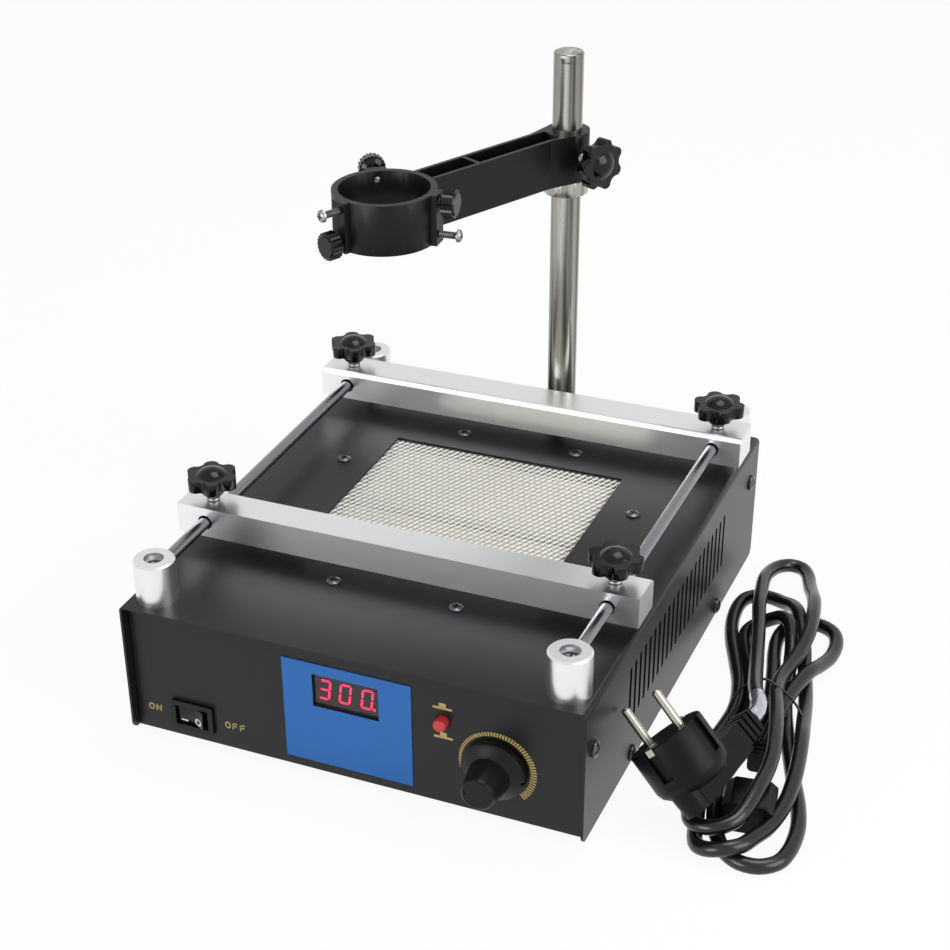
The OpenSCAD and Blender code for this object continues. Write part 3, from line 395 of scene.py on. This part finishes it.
CABLE_D = 7.2
CORD_STEP = 3.0
ROUTE = [
    # out of the plug and along the left of the long loop
    (164.1, -38.4, 28.6), (165.2, -31.5, 29.1), (164.3, -24.5, 28.8), (161.5, -16, 27), (157.8, -5, 23.8),
    (154, 10, 20), (150, 27, 16.5), (145.5, 46, 14), (140.5, 67, 12.3), (135.5, 86, 11.5), (132, 104, 9.5),
    (129.8, 118, 7.6),
    # round the far end of the long loop and back over the connector
    (130, 128.5, 5.8), (132.4, 137, 4.6), (137.9, 142.4, 3.8), (144.6, 141.4, 3.7), (149.2, 135, 3.8),
    (152, 126.4, 4.8), (154.8, 117.6, 6.6), (157.8, 109, 9),
    (161.5, 96, 13), (164.8, 79.5, 15), (166.8, 62, 15), (166.3, 46, 14.2), (165, 32, 14), (164.2, 18, 15.2),
    (166, 4, 17.2), (170, -12, 19.5), (174.5, -30, 21), (178, -48, 21), (179, -62, 20.5), (178.4, -76, 20),
    # first near fold, under the plug and away again on the floor
    (176.6, -89.5, 17.8), (174.2, -96.6, 16.3), (168.5, -101.3, 14.5), (161.2, -101.6, 12.8),
    (155, -97.4, 11.3), (151.9, -90, 9.8), (149, -80, 8),
    (145.5, -66, 5), (143, -50, 3.7), (143.6, -34, 3.7), (146, -16, 3.7), (146.8, 3, 3.7), (143, 23, 3.7),
    (136, 42, 3.7), (129, 60, 3.7), (124.2, 78, 3.7),
    # second far fold
    (123.2, 95, 3.7), (125.4, 102.2, 3.7), (130.8, 106.5, 3.7), (137.6, 106.5, 3.7), (144.4, 102.4, 5),
    (151, 95.5, 8.5), (156, 86.5, 10.8),
    (160.3, 77, 9.5), (164.5, 66, 6), (169, 50, 3.7), (173.5, 34, 3.7), (177.5, 18, 4.2), (181, 0, 7),
    (184.5, -18, 10.7), (187.5, -36, 11.2), (189.5, -54, 11), (189.5, -71, 9.5),
    # second near fold
    (187, -85.5, 8.5), (183.2, -97, 9.8), (180, -104.8, 10.4), (174.2, -109.4, 10.4), (166.9, -109.8, 8),
    (160.8, -105.9, 5.3), (157.8, -99.4, 4), (155.6, -90, 3.7), (152.3, -75, 3.7), (150, -58, 3.7),
    (150.5, -40, 3.7), (153, -22, 3.7), (154.4, -4, 3.7), (151.6, 16, 3.7),
    (144.8, 37, 3.7), (137.6, 54, 3.7), (134.6, 63.5, 3.7),
    # third far fold
    (133.9, 71.5, 3.7), (136.6, 78.2, 4), (143, 81.9, 6.6), (149.8, 80.2, 10.6), (154.4, 75, 11),
    (158.2, 65, 9.5), (161.2, 53, 6),
    (163.4, 40, 3.7), (166.3, 25, 3.7), (170, 9, 3.7), (175.3, -8, 3.7), (181.5, -26, 3.7), (188, -44, 3.7),
    (194, -60, 3.7), (198, -76, 3.7),
    # third near fold
    (198.3, -93.5, 3.7), (195.6, -102.4, 3.7), (188.8, -107.8, 3.7), (180.4, -108.2, 3.7),
    (173.2, -104, 3.7), (168, -97, 3.7), (163, -86.5, 3.7),
    (159.5, -74, 3.7), (157.2, -58, 3.7), (158, -42, 3.7), (161, -24, 3.7), (162.2, -7, 3.7), (161.4, 9, 3.7),
    (159.3, 24, 3.7), (155.8, 40, 3.7), (152, 56, 3.7), (150.2, 68, 3.7),
    # last far fold, down into the connector
    (150.6, 77.5, 3.7), (153.4, 84.8, 3.7), (159.8, 89.6, 3.7), (168, 89.8, 3.7), (174.9, 85.4, 3.7),
    (178.4, 77, 3.7), (179, 63, 4.3),
    (177, 50, 7), (174.2, 36, 10.8), (171.5, 21, 11.3), (169.8, 6, 10.8), (169, -10, 9.2), (169, -21, 8.4),
    (169.1, -28.6, 8.2),
]


def smooth_line(places, step):
    """Even points on a centripetal spline through the places."""
    spots = [Vector(p) for p in places]
    spots = [2 * spots[0] - spots[1]] + spots + [2 * spots[-1] - spots[-2]]
    line = []
    for p0, p1, p2, p3 in zip(spots, spots[1:], spots[2:], spots[3:]):
        t1 = (p1 - p0).length ** 0.5
        t2 = t1 + (p2 - p1).length ** 0.5
        t3 = t2 + (p3 - p2).length ** 0.5
        count = max(2, round((p2 - p1).length / step))
        for i in range(count):
            t = t1 + (t2 - t1) * i / count
            a1 = p0.lerp(p1, t / t1)
            a2 = p1.lerp(p2, (t - t1) / (t2 - t1))
            a3 = p2.lerp(p3, (t - t2) / (t3 - t2))
            b1 = a1.lerp(a2, t / t2)
            b2 = a2.lerp(a3, (t - t1) / (t3 - t1))
            line.append(b1.lerp(b2, (t - t1) / (t2 - t1)))
    line.append(spots[-2])
    return line


def cord_piece(name, line, diameter, finish):
    """A round cord along a line of points in millimetres."""
    curve = bpy.data.curves.new(name, "CURVE")
    curve.dimensions = "3D"
    curve.bevel_depth = diameter / 2 * MM
    curve.bevel_resolution = 6
    curve.use_fill_caps = True
    spline = curve.splines.new("POLY")
    spline.points.add(len(line) - 1)
    for point, place in zip(spline.points, line):
        point.co = (*(place * MM), 1.0)
    spline.use_smooth = True
    curve.materials.append(finish)
    made = bpy.data.objects.new(name, curve)
    bpy.context.collection.objects.link(made)
    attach(made, "housing")
    return made


def mains_lead(extras):
    """The lead along its route, in place of the CAD hank; the plug, connector, tie and film fixed to it are
    made elsewhere.
    """
    line = smooth_line(ROUTE, CORD_STEP)
    lead = cord_piece("mains_lead", line, CABLE_D, cable_pvc)
    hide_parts("lead_hank")


# Prints on the panel, digits and switch marks

# Ink and letters; words and button marks by place on the panel; the knob's scale and its ticks.
INK_T = 0.06
INK_W = 0.65
LETTER_W = 3.1
LETTER_H = 3.7
LETTER_STEP = 3.95
WORDS = (("ON", -107.4), ("OFF", -65.9))
WORDS_Z = 16.8
BUTTON_MARKS = ((46.4, 58.2), (46.7, 42.4))
TICKS = 60
TICK_W = 0.9
SCALE_R = 16.4
SCALE_START = 225
SCALE_SWEEP = 270


def oval(width, height, centre, sides=32):
    """Outline of an oval as (x, z) pairs."""
    turns = [2 * math.pi * i / sides for i in range(sides)]
    return [(centre[0] + width / 2 * math.cos(t), centre[1] + height / 2 * math.sin(t)) for t in turns]


def stroke(start, end, width):
    """Outline of a straight stroke between two (x, z) places."""
    start, end = Vector(start), Vector(end)
    along = end - start
    side = Vector((-along.y, along.x)).normalized() * width / 2
    return [start + side, start - side, end - side, end + side]


def hoop(outer, inner, depth):
    """A flat ring between two outlines of (x, z) pairs, depth thick towards -Y from y = 0."""
    rows = ((outer, 0.0), (outer, -depth), (inner, -depth), (inner, 0.0), (outer, 0.0))
    return rings([[(x, y, z) for x, z in outline] for outline, y in rows], closed_ends=False)


def letter(kind, x, z):
    """Solids of one capital letter, its lower left corner at x and z."""
    w, h, pen = LETTER_W, LETTER_H, INK_W / 2
    if kind == "O":
        centre = (x + w / 2, z + h / 2)
        return [hoop(oval(w, h, centre), oval(w - 2 * INK_W, h - 2 * INK_W, centre), INK_T)]
    strokes = {
        "N": [((pen, 0), (pen, h)), ((pen, h - pen), (w - pen, pen)), ((w - pen, 0), (w - pen, h))],
        "F": [((pen, 0), (pen, h)), ((0, h - pen), (w * 0.9, h - pen)), ((0, h / 2), (w * 0.8, h / 2))],
    }
    corner = Vector((x, z))
    return [slab(stroke(corner + Vector(a), corner + Vector(b), INK_W), INK_T) for a, b in strokes[kind]]


def panel_prints():
    """Gold ink on the panel: wording of the switch, marks at the button, scale of the temperature knob."""
    solids = []
    for word, x in WORDS:
        for place, kind in enumerate(word):
            solids += letter(kind, x + place * LETTER_STEP, WORDS_Z)
    # a bar with a raised block for the two positions of the button
    for x, z in BUTTON_MARKS:
        solids.append(slab(stroke((x - 4.6, z), (x + 4.6, z), 1.2), INK_T))
        solids.append(slab(stroke((x - 1.7, z + 1.6), (x + 1.7, z + 1.6), 2.2), INK_T))
    # ticks that grow along the scale
    centre = Vector((middle("dial").x, middle("dial").z))
    for i in range(TICKS):
        share = i / (TICKS - 1)
        turn = math.radians(SCALE_START - SCALE_SWEEP * share)
        ray = Vector((math.cos(turn), math.sin(turn)))
        outer = SCALE_R + 1.0 + 2.4 * share
        solids.append(slab(stroke(centre + ray * SCALE_R, centre + ray * outer, TICK_W), INK_T))
    lift = Matrix.Translation((0, low("chassis").y, 0))
    piece("panel_prints", *moved(join(*solids), lift), gold_ink, "powder_coat", "housing")


DIGIT_H = 11.0
DIGIT_W = 6.0
DIGIT_PEN = 1.05
DIGIT_LEAN = math.tan(math.radians(7))
DIGIT_T = 0.1
DIGITS = (("3", 2.0), ("0", 12.3), ("0", 23.3))
LIT = {"3": "abcdg", "0": "abcdef"}


def segment(kind):
    """Outline of one of the seven segments of a digit, with pointed ends."""
    left, right = DIGIT_PEN / 2, DIGIT_W - DIGIT_PEN / 2
    low_z, mid_z, top_z = DIGIT_PEN / 2, DIGIT_H / 2, DIGIT_H - DIGIT_PEN / 2
    ends = {
        "a": ((left, top_z), (right, top_z)),
        "b": ((right, mid_z), (right, top_z)),
        "c": ((right, low_z), (right, mid_z)),
        "d": ((left, low_z), (right, low_z)),
        "e": ((left, low_z), (left, mid_z)),
        "f": ((left, mid_z), (left, top_z)),
        "g": ((left, mid_z), (right, mid_z)),
    }
    start, end = (Vector(p) for p in ends[kind])
    along = (end - start).normalized()
    side = Vector((-along.y, along.x)) * DIGIT_PEN / 2
    gap, point = along * 0.2, along * DIGIT_PEN / 2
    near, far = start + gap, end - gap
    return [near, near + point + side, far - point + side, far, far - point - side, near + point - side]


def display_digits():
    """Three leaning digits and their points on the display's face."""
    face = low("display_window")
    left = face.x + 2
    base = middle("display_window").z - DIGIT_H / 2 + 0.5
    lit, dim = [], []
    for kind, shift in DIGITS:
        for name in "abcdefg":
            leaning = [(left + shift + p.x + p.y * DIGIT_LEAN, base + p.y) for p in segment(name)]
            (lit if name in LIT[kind] else dim).append(slab(leaning, DIGIT_T))
        dot = oval(1.5, 1.5, (left + shift + DIGIT_W + 1.0, base + 0.75), 16)
        (lit if shift == DIGITS[-1][1] else dim).append(slab(dot, DIGIT_T))
    lift = Matrix.Translation((0, face.y, 0))
    piece("digits_lit", *moved(join(*lit), lift), lit_segment, "display_red", "housing")
    piece("digits_unlit", *moved(join(*dim), lift), dim_segment, "display_red", "housing")


ROCKER_RING = (-79.5, 17.0)
ROCKER_DASH = ((-89.3, 15.7), (-85.7, 15.7))


def rocker_marks():
    """White dash and ring printed on the hollow face of the rocker."""
    shown = frame["nodes"]["rocker"]
    corners = [v.co / MM for v in shown.data.vertices]
    tree = BVHTree.FromPolygons(corners, [tuple(face.vertices) for face in shown.data.polygons])
    reach = low("rocker").y - 10

    def draped(solid):
        points = []
        for x, y, z in solid[0]:
            hit = tree.ray_cast(Vector((x, reach, z)), Vector((0, 1, 0)))[0]
            points.append((x, hit.y + y, z))
        return points, solid[1]

    ring = hoop(oval(3.9, 3.9, ROCKER_RING), oval(2.4, 2.4, ROCKER_RING), INK_T)
    dash = slab(stroke(*ROCKER_DASH, 0.85), INK_T)
    piece("rocker_marks", *join(draped(ring), draped(dash)), white_ink, "gloss_black", "rocker_body")


# Threaded studs, screws and the lead's fittings

def joint_axis(name):
    """Direction of a joint of the record."""
    joint = next(j for j in frame["record"]["behaviour"]["joints"] if j["name"] == name)
    return Vector(joint["axis"]).normalized()


def body_of(node):
    """The body that a CAD node belongs to."""
    bodies = frame["record"]["behaviour"]["bodies"]
    return next(body for body, nodes in bodies.items() if node in nodes)


def along(node, axis):
    """Where a CAD node starts along a direction, on its middle line, and its length there."""
    reach = [axis.dot(v.co) / MM for v in frame["nodes"][node].data.vertices]
    centre = middle(node)
    return centre + axis * (min(reach) - axis.dot(centre)), max(reach) - min(reach)


def aimed(start, axis):
    """Matrix that puts a solid's origin at a place and its +Z along a direction."""
    return Matrix.Translation(start) @ axis.to_track_quat("Z", "Y").to_matrix().to_4x4()


STUD = (5, 0.8)
TIP = (3.5, 0.6)


def thread_on(node, axis, thread, extra=None):
    """A threaded rod of a (diameter, pitch) in place of a CAD rod; extra(start) adds a solid to it."""
    start, length = along(node, axis)
    rod = threaded(length, *thread)
    solid = join(rod, extra(start)) if extra else rod
    placed = moved(solid, aimed(start, axis))
    piece(node + "_thread", *placed, steel, "steel", body_of(node), [node], sharp=60)


def bar_ring(start):
    """The ring that a bar's stud keeps above the bar."""
    foot = high("front_bar").z + 0.3 - start.z
    profile = ((2.4, 0), (3.1, 0), (3.3, 0.2), (3.3, 1.2), (3.0, 1.4), (2.4, 1.4))
    return turned([(radius, foot + z) for radius, z in profile])


def studs():
    """Threads on the knobs' studs and the thumb screws."""
    for corner in ("fl", "fr", "rl", "rr"):
        thread_on("stud_" + corner, Vector((0, 0, 1)), STUD, bar_ring)
    thread_on("arm_stud", joint_axis("arm_clamp_turn"), STUD)
    for side in ("left", "right", "back"):
        thread_on("tip_" + side, joint_axis("thumb_%s_screw" % side), TIP)


def pan_head(size, height):
    """Low domed head, its seat at the origin."""
    rim = [(size / 2 - 0.15, 0), (size / 2, 0.15), (size / 2, height * 0.35)]
    turns = (0.3, 0.6, 0.9, 1.2, 1.45)
    dome = [(size / 2 * math.cos(t), height * (0.35 + 0.65 * math.sin(t))) for t in turns]
    return turned([(0, 0)] + rim + dome + [(0, height)], 32)


def cross_recess(size, height):
    """The two blades that cut a cross into a head of that size and height."""
    long, thick = size * 0.58, size * 0.13
    centre = (0, 0, height * 0.95)
    return [box_solid(blade, centre) for blade in ((long, thick, height), (thick, long, height))]


def screw_heads(name, seats, size, height, body, replaces=()):
    """Pan heads with a cross recess on their seats, as one piece."""
    heads = [moved(pan_head(size, height), seat) for seat in seats]
    made = piece(name, *join(*heads), steel, "steel", body, replaces)
    for seat in seats:
        for blade in cross_recess(size, height):
            carve(made, moved(blade, seat))


SHANK_L = 13.9
RING_HEAD = (6, 2.4)
INLET_HEAD = (5.6, 2)
INLET_PITCH = 40


def ring_screws():
    """Three pan head screws in the ring, each above or below a thumb screw."""
    seats, shanks = [], []
    for side, level in (("left", "tip_right"), ("right", "tip_left"), ("back", "tip_left")):
        axis = joint_axis("thumb_%s_screw" % side)
        start = along("tip_" + side, axis)[0]
        start.z = middle(level).z
        shanks.append(moved(threaded(SHANK_L, *TIP), aimed(start, axis)))
        seats.append(aimed(start + axis * SHANK_L, axis))
    screw_heads("ring_screw_heads", seats, *RING_HEAD, "arm_body", ["ring_screws"])
    piece("ring_screw_shanks", *join(*shanks), black_steel, "steel", "arm_body", sharp=60)


# The guard's diamonds across and along, its thin strands, and the plan of a broad face along its strand.
DIAMOND = (3.2, 7.5)
STRAND_W = 0.7
FACE_PLAN = ((-1.9, 0), (-1.3, 0.45), (1.3, 0.45), (1.9, 0), (1.3, -0.45), (-1.3, -0.45))


def lattice_strand(x, lean, half, width):
    """The plan of one straight strand through (x, 0) cut to the guard's half size, or None at a corner."""
    slope = lean * DIAMOND[0] / DIAMOND[1]
    ends = sorted((side * half.x - x) / slope for side in (-1, 1))
    start, stop = max(-half.y, ends[0]), min(half.y, ends[1])
    if stop - start < 1:
        return None
    corners = ((-1, start), (1, start), (1, stop), (-1, stop))
    return [(x + slope * y + side * width / 2, y) for side, y in corners]


def strand_face(x, y, height):
    """The broad face of a strand between two knots, six-sided and tipped to its right."""
    way = Vector((DIAMOND[0], DIAMOND[1], 0)).normalized()
    across = Vector((way.y, -way.x, 0))
    base = [Vector((x, y, 0)) + way * a + across * b for a, b in FACE_PLAN]
    top = [p + Vector((0, 0, height * (0.8 - 0.36 * b))) for p, (a, b) in zip(base, FACE_PLAN)]
    return rings([base, top])


def guard_mesh():
    """The guard over the heater: a lattice of thin strands with broad faces along one of its two ways."""
    centre = middle("mesh_guard")
    half = (high("mesh_guard") - low("mesh_guard")) / 2 - Vector((0.5, 0.5, 0))
    foot = Matrix.Translation((centre.x, centre.y, low("mesh_guard").z))
    ridge = Matrix.Translation((centre.x, centre.y, centre.z))
    reach = math.ceil((half.x + half.y * DIAMOND[0] / DIAMOND[1]) / DIAMOND[0])
    rows = math.ceil(half.y / DIAMOND[1] * 2)
    thin, broad = [], []
    for i in range(-reach, reach + 1):
        for lean in (-1, 1):
            plan = lattice_strand(i * DIAMOND[0], lean, half, STRAND_W)
            if plan:
                thin.append(rings([[(x, y, z) for x, y in plan] for z in (0, half.z)]))
        for k in range(-rows, rows):
            y = (k + 0.5) * DIAMOND[1] / 2
            x = i * DIAMOND[0] + y * DIAMOND[0] / DIAMOND[1]
            if abs(x) < half.x - 2 and abs(y) < half.y - 2:
                broad.append(strand_face(x, y, half.z))
    # The thin strands take the painted-shade copy of the steel, and the broad faces take the painted-lit
    # copy.
    piece("guard_lattice", *moved(join(*thin), foot), shaded_guard_steel, "guard_steel", "housing", ["mesh_guard"])
    piece("guard_faces", *moved(join(*broad), ridge), guard_steel, "guard_steel", "housing")


def inlet_screws():
    """The two screws that hold the mains inlet in the back panel."""
    centre = middle("inlet")
    seats = []
    for side in (-1, 1):
        place = Vector((centre.x + side * INLET_PITCH / 2, high("inlet").y, centre.z))
        seats.append(aimed(place, Vector((0, 1, 0))))
    screw_heads("inlet_screws", seats, *INLET_HEAD, "housing")


def rounded(width, height, radius, x):
    """Outline of a rounded rectangle across the X axis."""
    loop = []
    for quarter, (sy, sz) in enumerate(((1, 1), (-1, 1), (-1, -1), (1, -1))):
        for i in range(5):
            turn = math.radians(90 * quarter + 22.5 * i)
            y = sy * (width / 2 - radius) + radius * math.cos(turn)
            loop.append((x, y, sz * (height / 2 - radius) + radius * math.sin(turn)))
    return loop


def relief(first, count, wide, tall):
    """Ribs of a strain relief along X, getting smaller towards the cable, on a round core."""
    solids = []
    for i in range(count):
        x = first + i * 4
        w, h = wide - i * 0.5, tall - i * 0.5
        rows = ((0.8, 2.4, 0), (0, 2.6, 0.4), (0, 2.6, 2.2), (0.8, 2.4, 2.6))
        solids.append(rings([rounded(w - less, h - less, radius, x + on) for less, radius, on in rows]))
    core = [(4.6, first - 2), (4.6, first + count * 4), (4.0, first + count * 4 + 0.8)]
    turn = Matrix.Rotation(math.radians(90), 4, "Y")
    return join(*solids, moved(turned(core, 24), turn))


# Where the connector lies and how far it is turned; its nose across, with the rows along it; its grip's rows.
CONNECTOR_AT = (176, -80.1, 8.2)
CONNECTOR_TURN = 97.6
NOSE = ((-11.5, -7.4), (-10.9, -8), (10.9, -8), (11.5, -7.4), (11.5, 5), (8, 8), (-8, 8), (-11.5, 5))
NOSE_ROWS = ((-4, 0.95), (-3.3, 1), (15, 1), (16.5, 0.97))
GRIP_ROWS = ((18, 14, 3, 15), (19.4, 15.2, 3.4, 17), (19.4, 15.2, 3.4, 31), (15, 13, 4, 34), (11, 11, 4, 36))
SLOTS = ((-7, -2), (7, -2), (0, 2))


def appliance_connector():
    """The connector on the bench: shaped nose with three slots, grip with ridges, strain relief."""
    lay = Matrix.Translation(CONNECTOR_AT) @ Matrix.Rotation(math.radians(CONNECTOR_TURN), 4, "Z")
    loops = [[(x, y * k, z * k) for y, z in NOSE] for x, k in NOSE_ROWS]
    grip = [rounded(*row) for row in GRIP_ROWS]
    ridges = [box_solid((0.9, 1.0, 9), (18.5 + 2 * i, s * 9.6, 0)) for i in range(6) for s in (-1, 1)]
    solid = moved(join(rings(loops), rings(grip), relief(35, 4, 12, 12), *ridges), lay)
    made = piece("appliance_connector", *solid, plug_pvc, "black_plastic", "housing", ["connector"])
    for y, z in SLOTS:
        carve(made, moved(box_solid((24, 2.2, 4.4), (6, y, z)), lay))
    return made


# Where the plug lies and its turns about X, Y and Z; a clip's profile out from the plug's axis.
PLUG_AT = (137, -83.7, 43.9)
PLUG_TURN = (-9.1, -44.8, -0.2)
CLIP = (
    (16.6, -3), (17.4, -3), (17.4, 0.2), (16.8, 0.8), (11.5, 0.8), (11.5, 0.1), (16.3, 0.1), (16.6, -0.3),
)
CLIP_W = 3.6


def plug_clips():
    """Sprung earth strips in the two recesses of the plug's rim, folded onto its face."""
    about_x, about_y, about_z = (
        Matrix.Rotation(math.radians(turn), 4, axis) for turn, axis in zip(PLUG_TURN, "XYZ")
    )
    lay = Matrix.Translation(PLUG_AT) @ about_z @ about_y @ about_x
    solids = []
    for s in (-1, 1):
        solids.append(rings([[(x, s * y, z) for y, z in CLIP] for x in (-CLIP_W / 2, CLIP_W / 2)]))
    return piece("plug_clips", *moved(join(*solids), lay), nickel, "steel", "housing")


TIE_D = 1.3
FILM_OVER = 0.7
FINE_STEP = 1.5
TIE = [
    (146.2, -8, 3), (146.2, -4.5, 10), (149, 0.5, 16.5), (154, 4.5, 20.5), (159.7, 6.2, 22), (165.2, 4.5, 21),
    (172.8, 3, 17), (178, 1, 12.5), (180.5, -0.5, 8), (180.5, -1.5, 3),
]


def tie_and_film():
    """Wire tie round the waist of the hank, and the film sleeve left on the lead at the plug."""
    tie = cord_piece("wire_tie", smooth_line(TIE, FINE_STEP), TIE_D, cable_pvc)
    line = smooth_line(ROUTE[:5], FINE_STEP)[1:17]
    sleeve = cord_piece("film_sleeve", line, CABLE_D + FILM_OVER, film)
    return [tie, sleeve]


# Camera, floor and light

def photo_camera():
    """The photograph's view: a long lens from the front right, a little above and slightly rolled."""
    data = bpy.data.cameras.new("photo_camera")
    data.sensor_width = 36
    data.lens = 74.38
    data.shift_x = 0.12243
    data.shift_y = 0.13023
    camera = bpy.data.objects.new("photo_camera", data)
    bpy.context.collection.objects.link(camera)
    aim = Vector((-0.376, 0.7575, -0.5336))
    turn = aim.to_track_quat("-Z", "Y").to_matrix().to_4x4() @ Matrix.Rotation(math.radians(-2.38), 4, "Z")
    camera.matrix_world = Matrix.Translation((0.32906, -0.76904, 0.56269)) @ turn
    bpy.context.scene.camera = camera


def shown_share(tree, glossy):
    """Share of the white surround that a ray shows: all to the camera or through glass, less in a shine."""
    path = add(tree, "LightPath")
    shine = add(tree, "Math", {0: path.outputs["Is Glossy Ray"], 1: glossy}, operation="MULTIPLY")
    direct = {0: path.outputs["Is Camera Ray"], 1: shine.outputs["Value"]}
    seen = add(tree, "Math", direct, operation="MAXIMUM")
    through = {0: seen.outputs["Value"], 1: path.outputs["Is Transmission Ray"]}
    return add(tree, "Math", through, operation="MAXIMUM").outputs["Value"]


FLOOR_REACH = 6.0
FLOOR_WHITE = 0.93


def white_floor():
    """A wide white floor that keeps the object's shadow."""
    mesh = bpy.data.meshes.new("floor")
    corners = [(x * FLOOR_REACH, y * FLOOR_REACH, 0) for x, y in ((-1, -1), (1, -1), (1, 1), (-1, 1))]
    mesh.from_pydata(corners, [], [[0, 1, 2, 3]])
    floor = bpy.data.objects.new("floor", mesh)
    bpy.context.collection.objects.link(floor)
    paint = bpy.data.materials.new("matt_white_sweep")
    paint.use_nodes = True
    tree = paint.node_tree
    tree.nodes.clear()
    matt = add(tree, "BsdfDiffuse", {"Color": linear("#f4f4f4")})
    glow = add(tree, "Emission", {"Color": linear("#ffffff"), "Strength": 1.0})
    share = add(tree, "Math", {0: shown_share(tree, 1.0), 1: FLOOR_WHITE}, operation="MULTIPLY")
    ends = {"Fac": share.outputs["Value"], 1: matt.outputs["BSDF"], 2: glow.outputs["Emission"]}
    mix = add(tree, "MixShader", ends)
    add(tree, "OutputMaterial", {"Surface": mix.outputs["Shader"]})
    mesh.materials.append(paint)


def white_room():
    """White surround for the eye, weaker as a fill light; in a shine it dims a little above the horizon."""
    world = bpy.data.worlds.new("studio_world")
    world.use_nodes = True
    bpy.context.scene.world = world
    tree = world.node_tree
    tree.nodes.clear()
    seen = add(tree, "Background", {"Color": linear("#ffffff"), "Strength": 1.0})
    fill = add(tree, "Background", {"Color": linear("#ffffff"), "Strength": 0.3})
    place = add(tree, "TexCoord")
    axes = add(tree, "SeparateXYZ", {"Vector": place.outputs["Generated"]})
    drop = {"Value": axes.outputs["Z"], "From Min": 0.12, "From Max": 0.4, "To Min": 1.0, "To Max": 0.7}
    backdrop = add(tree, "MapRange", drop, clamp=True)
    share = shown_share(tree, backdrop.outputs["Result"])
    ends = {"Fac": share, 1: fill.outputs["Background"], 2: seen.outputs["Background"]}
    mix = add(tree, "MixShader", ends)
    add(tree, "OutputWorld", {"Surface": mix.outputs["Shader"]})


# Soft lamps: name, place and target in metres, width and height in metres, power in watts.
LAMPS = (
    ("softbox_right", (1.5, -0.3, 0.9), (0, 0, 0.08), (1.2, 1.2), 18),
    ("softbox_top", (0.2, 0.3, 1.7), (0, 0, 0.05), (0.9, 0.9), 11),
    ("softbox_front", (-0.7, -1.5, 0.45), (0, 0, 0.05), (0.9, 0.7), 12),
)


def soft_lamps():
    """Softboxes at a plain level, so that colours show about as written."""
    for name, place, target, size, power in LAMPS:
        data = bpy.data.lights.new(name, "AREA")
        data.shape = "RECTANGLE"
        data.size, data.size_y = size
        data.energy = power
        made = bpy.data.objects.new(name, data)
        bpy.context.collection.objects.link(made)
        aim = Vector(target) - Vector(place)
        made.matrix_world = Matrix.Translation(place) @ aim.to_track_quat("-Z", "Y").to_matrix().to_4x4()


dress_nodes()
panel_prints()
display_digits()
rocker_marks()
studs()
ring_screws()
guard_mesh()
inlet_screws()
mains_lead([appliance_connector(), plug_clips(), *tie_and_film()])
photo_camera()
white_floor()
white_room()
soft_lamps()
bpy.context.scene.view_settings.view_transform = "Standard"
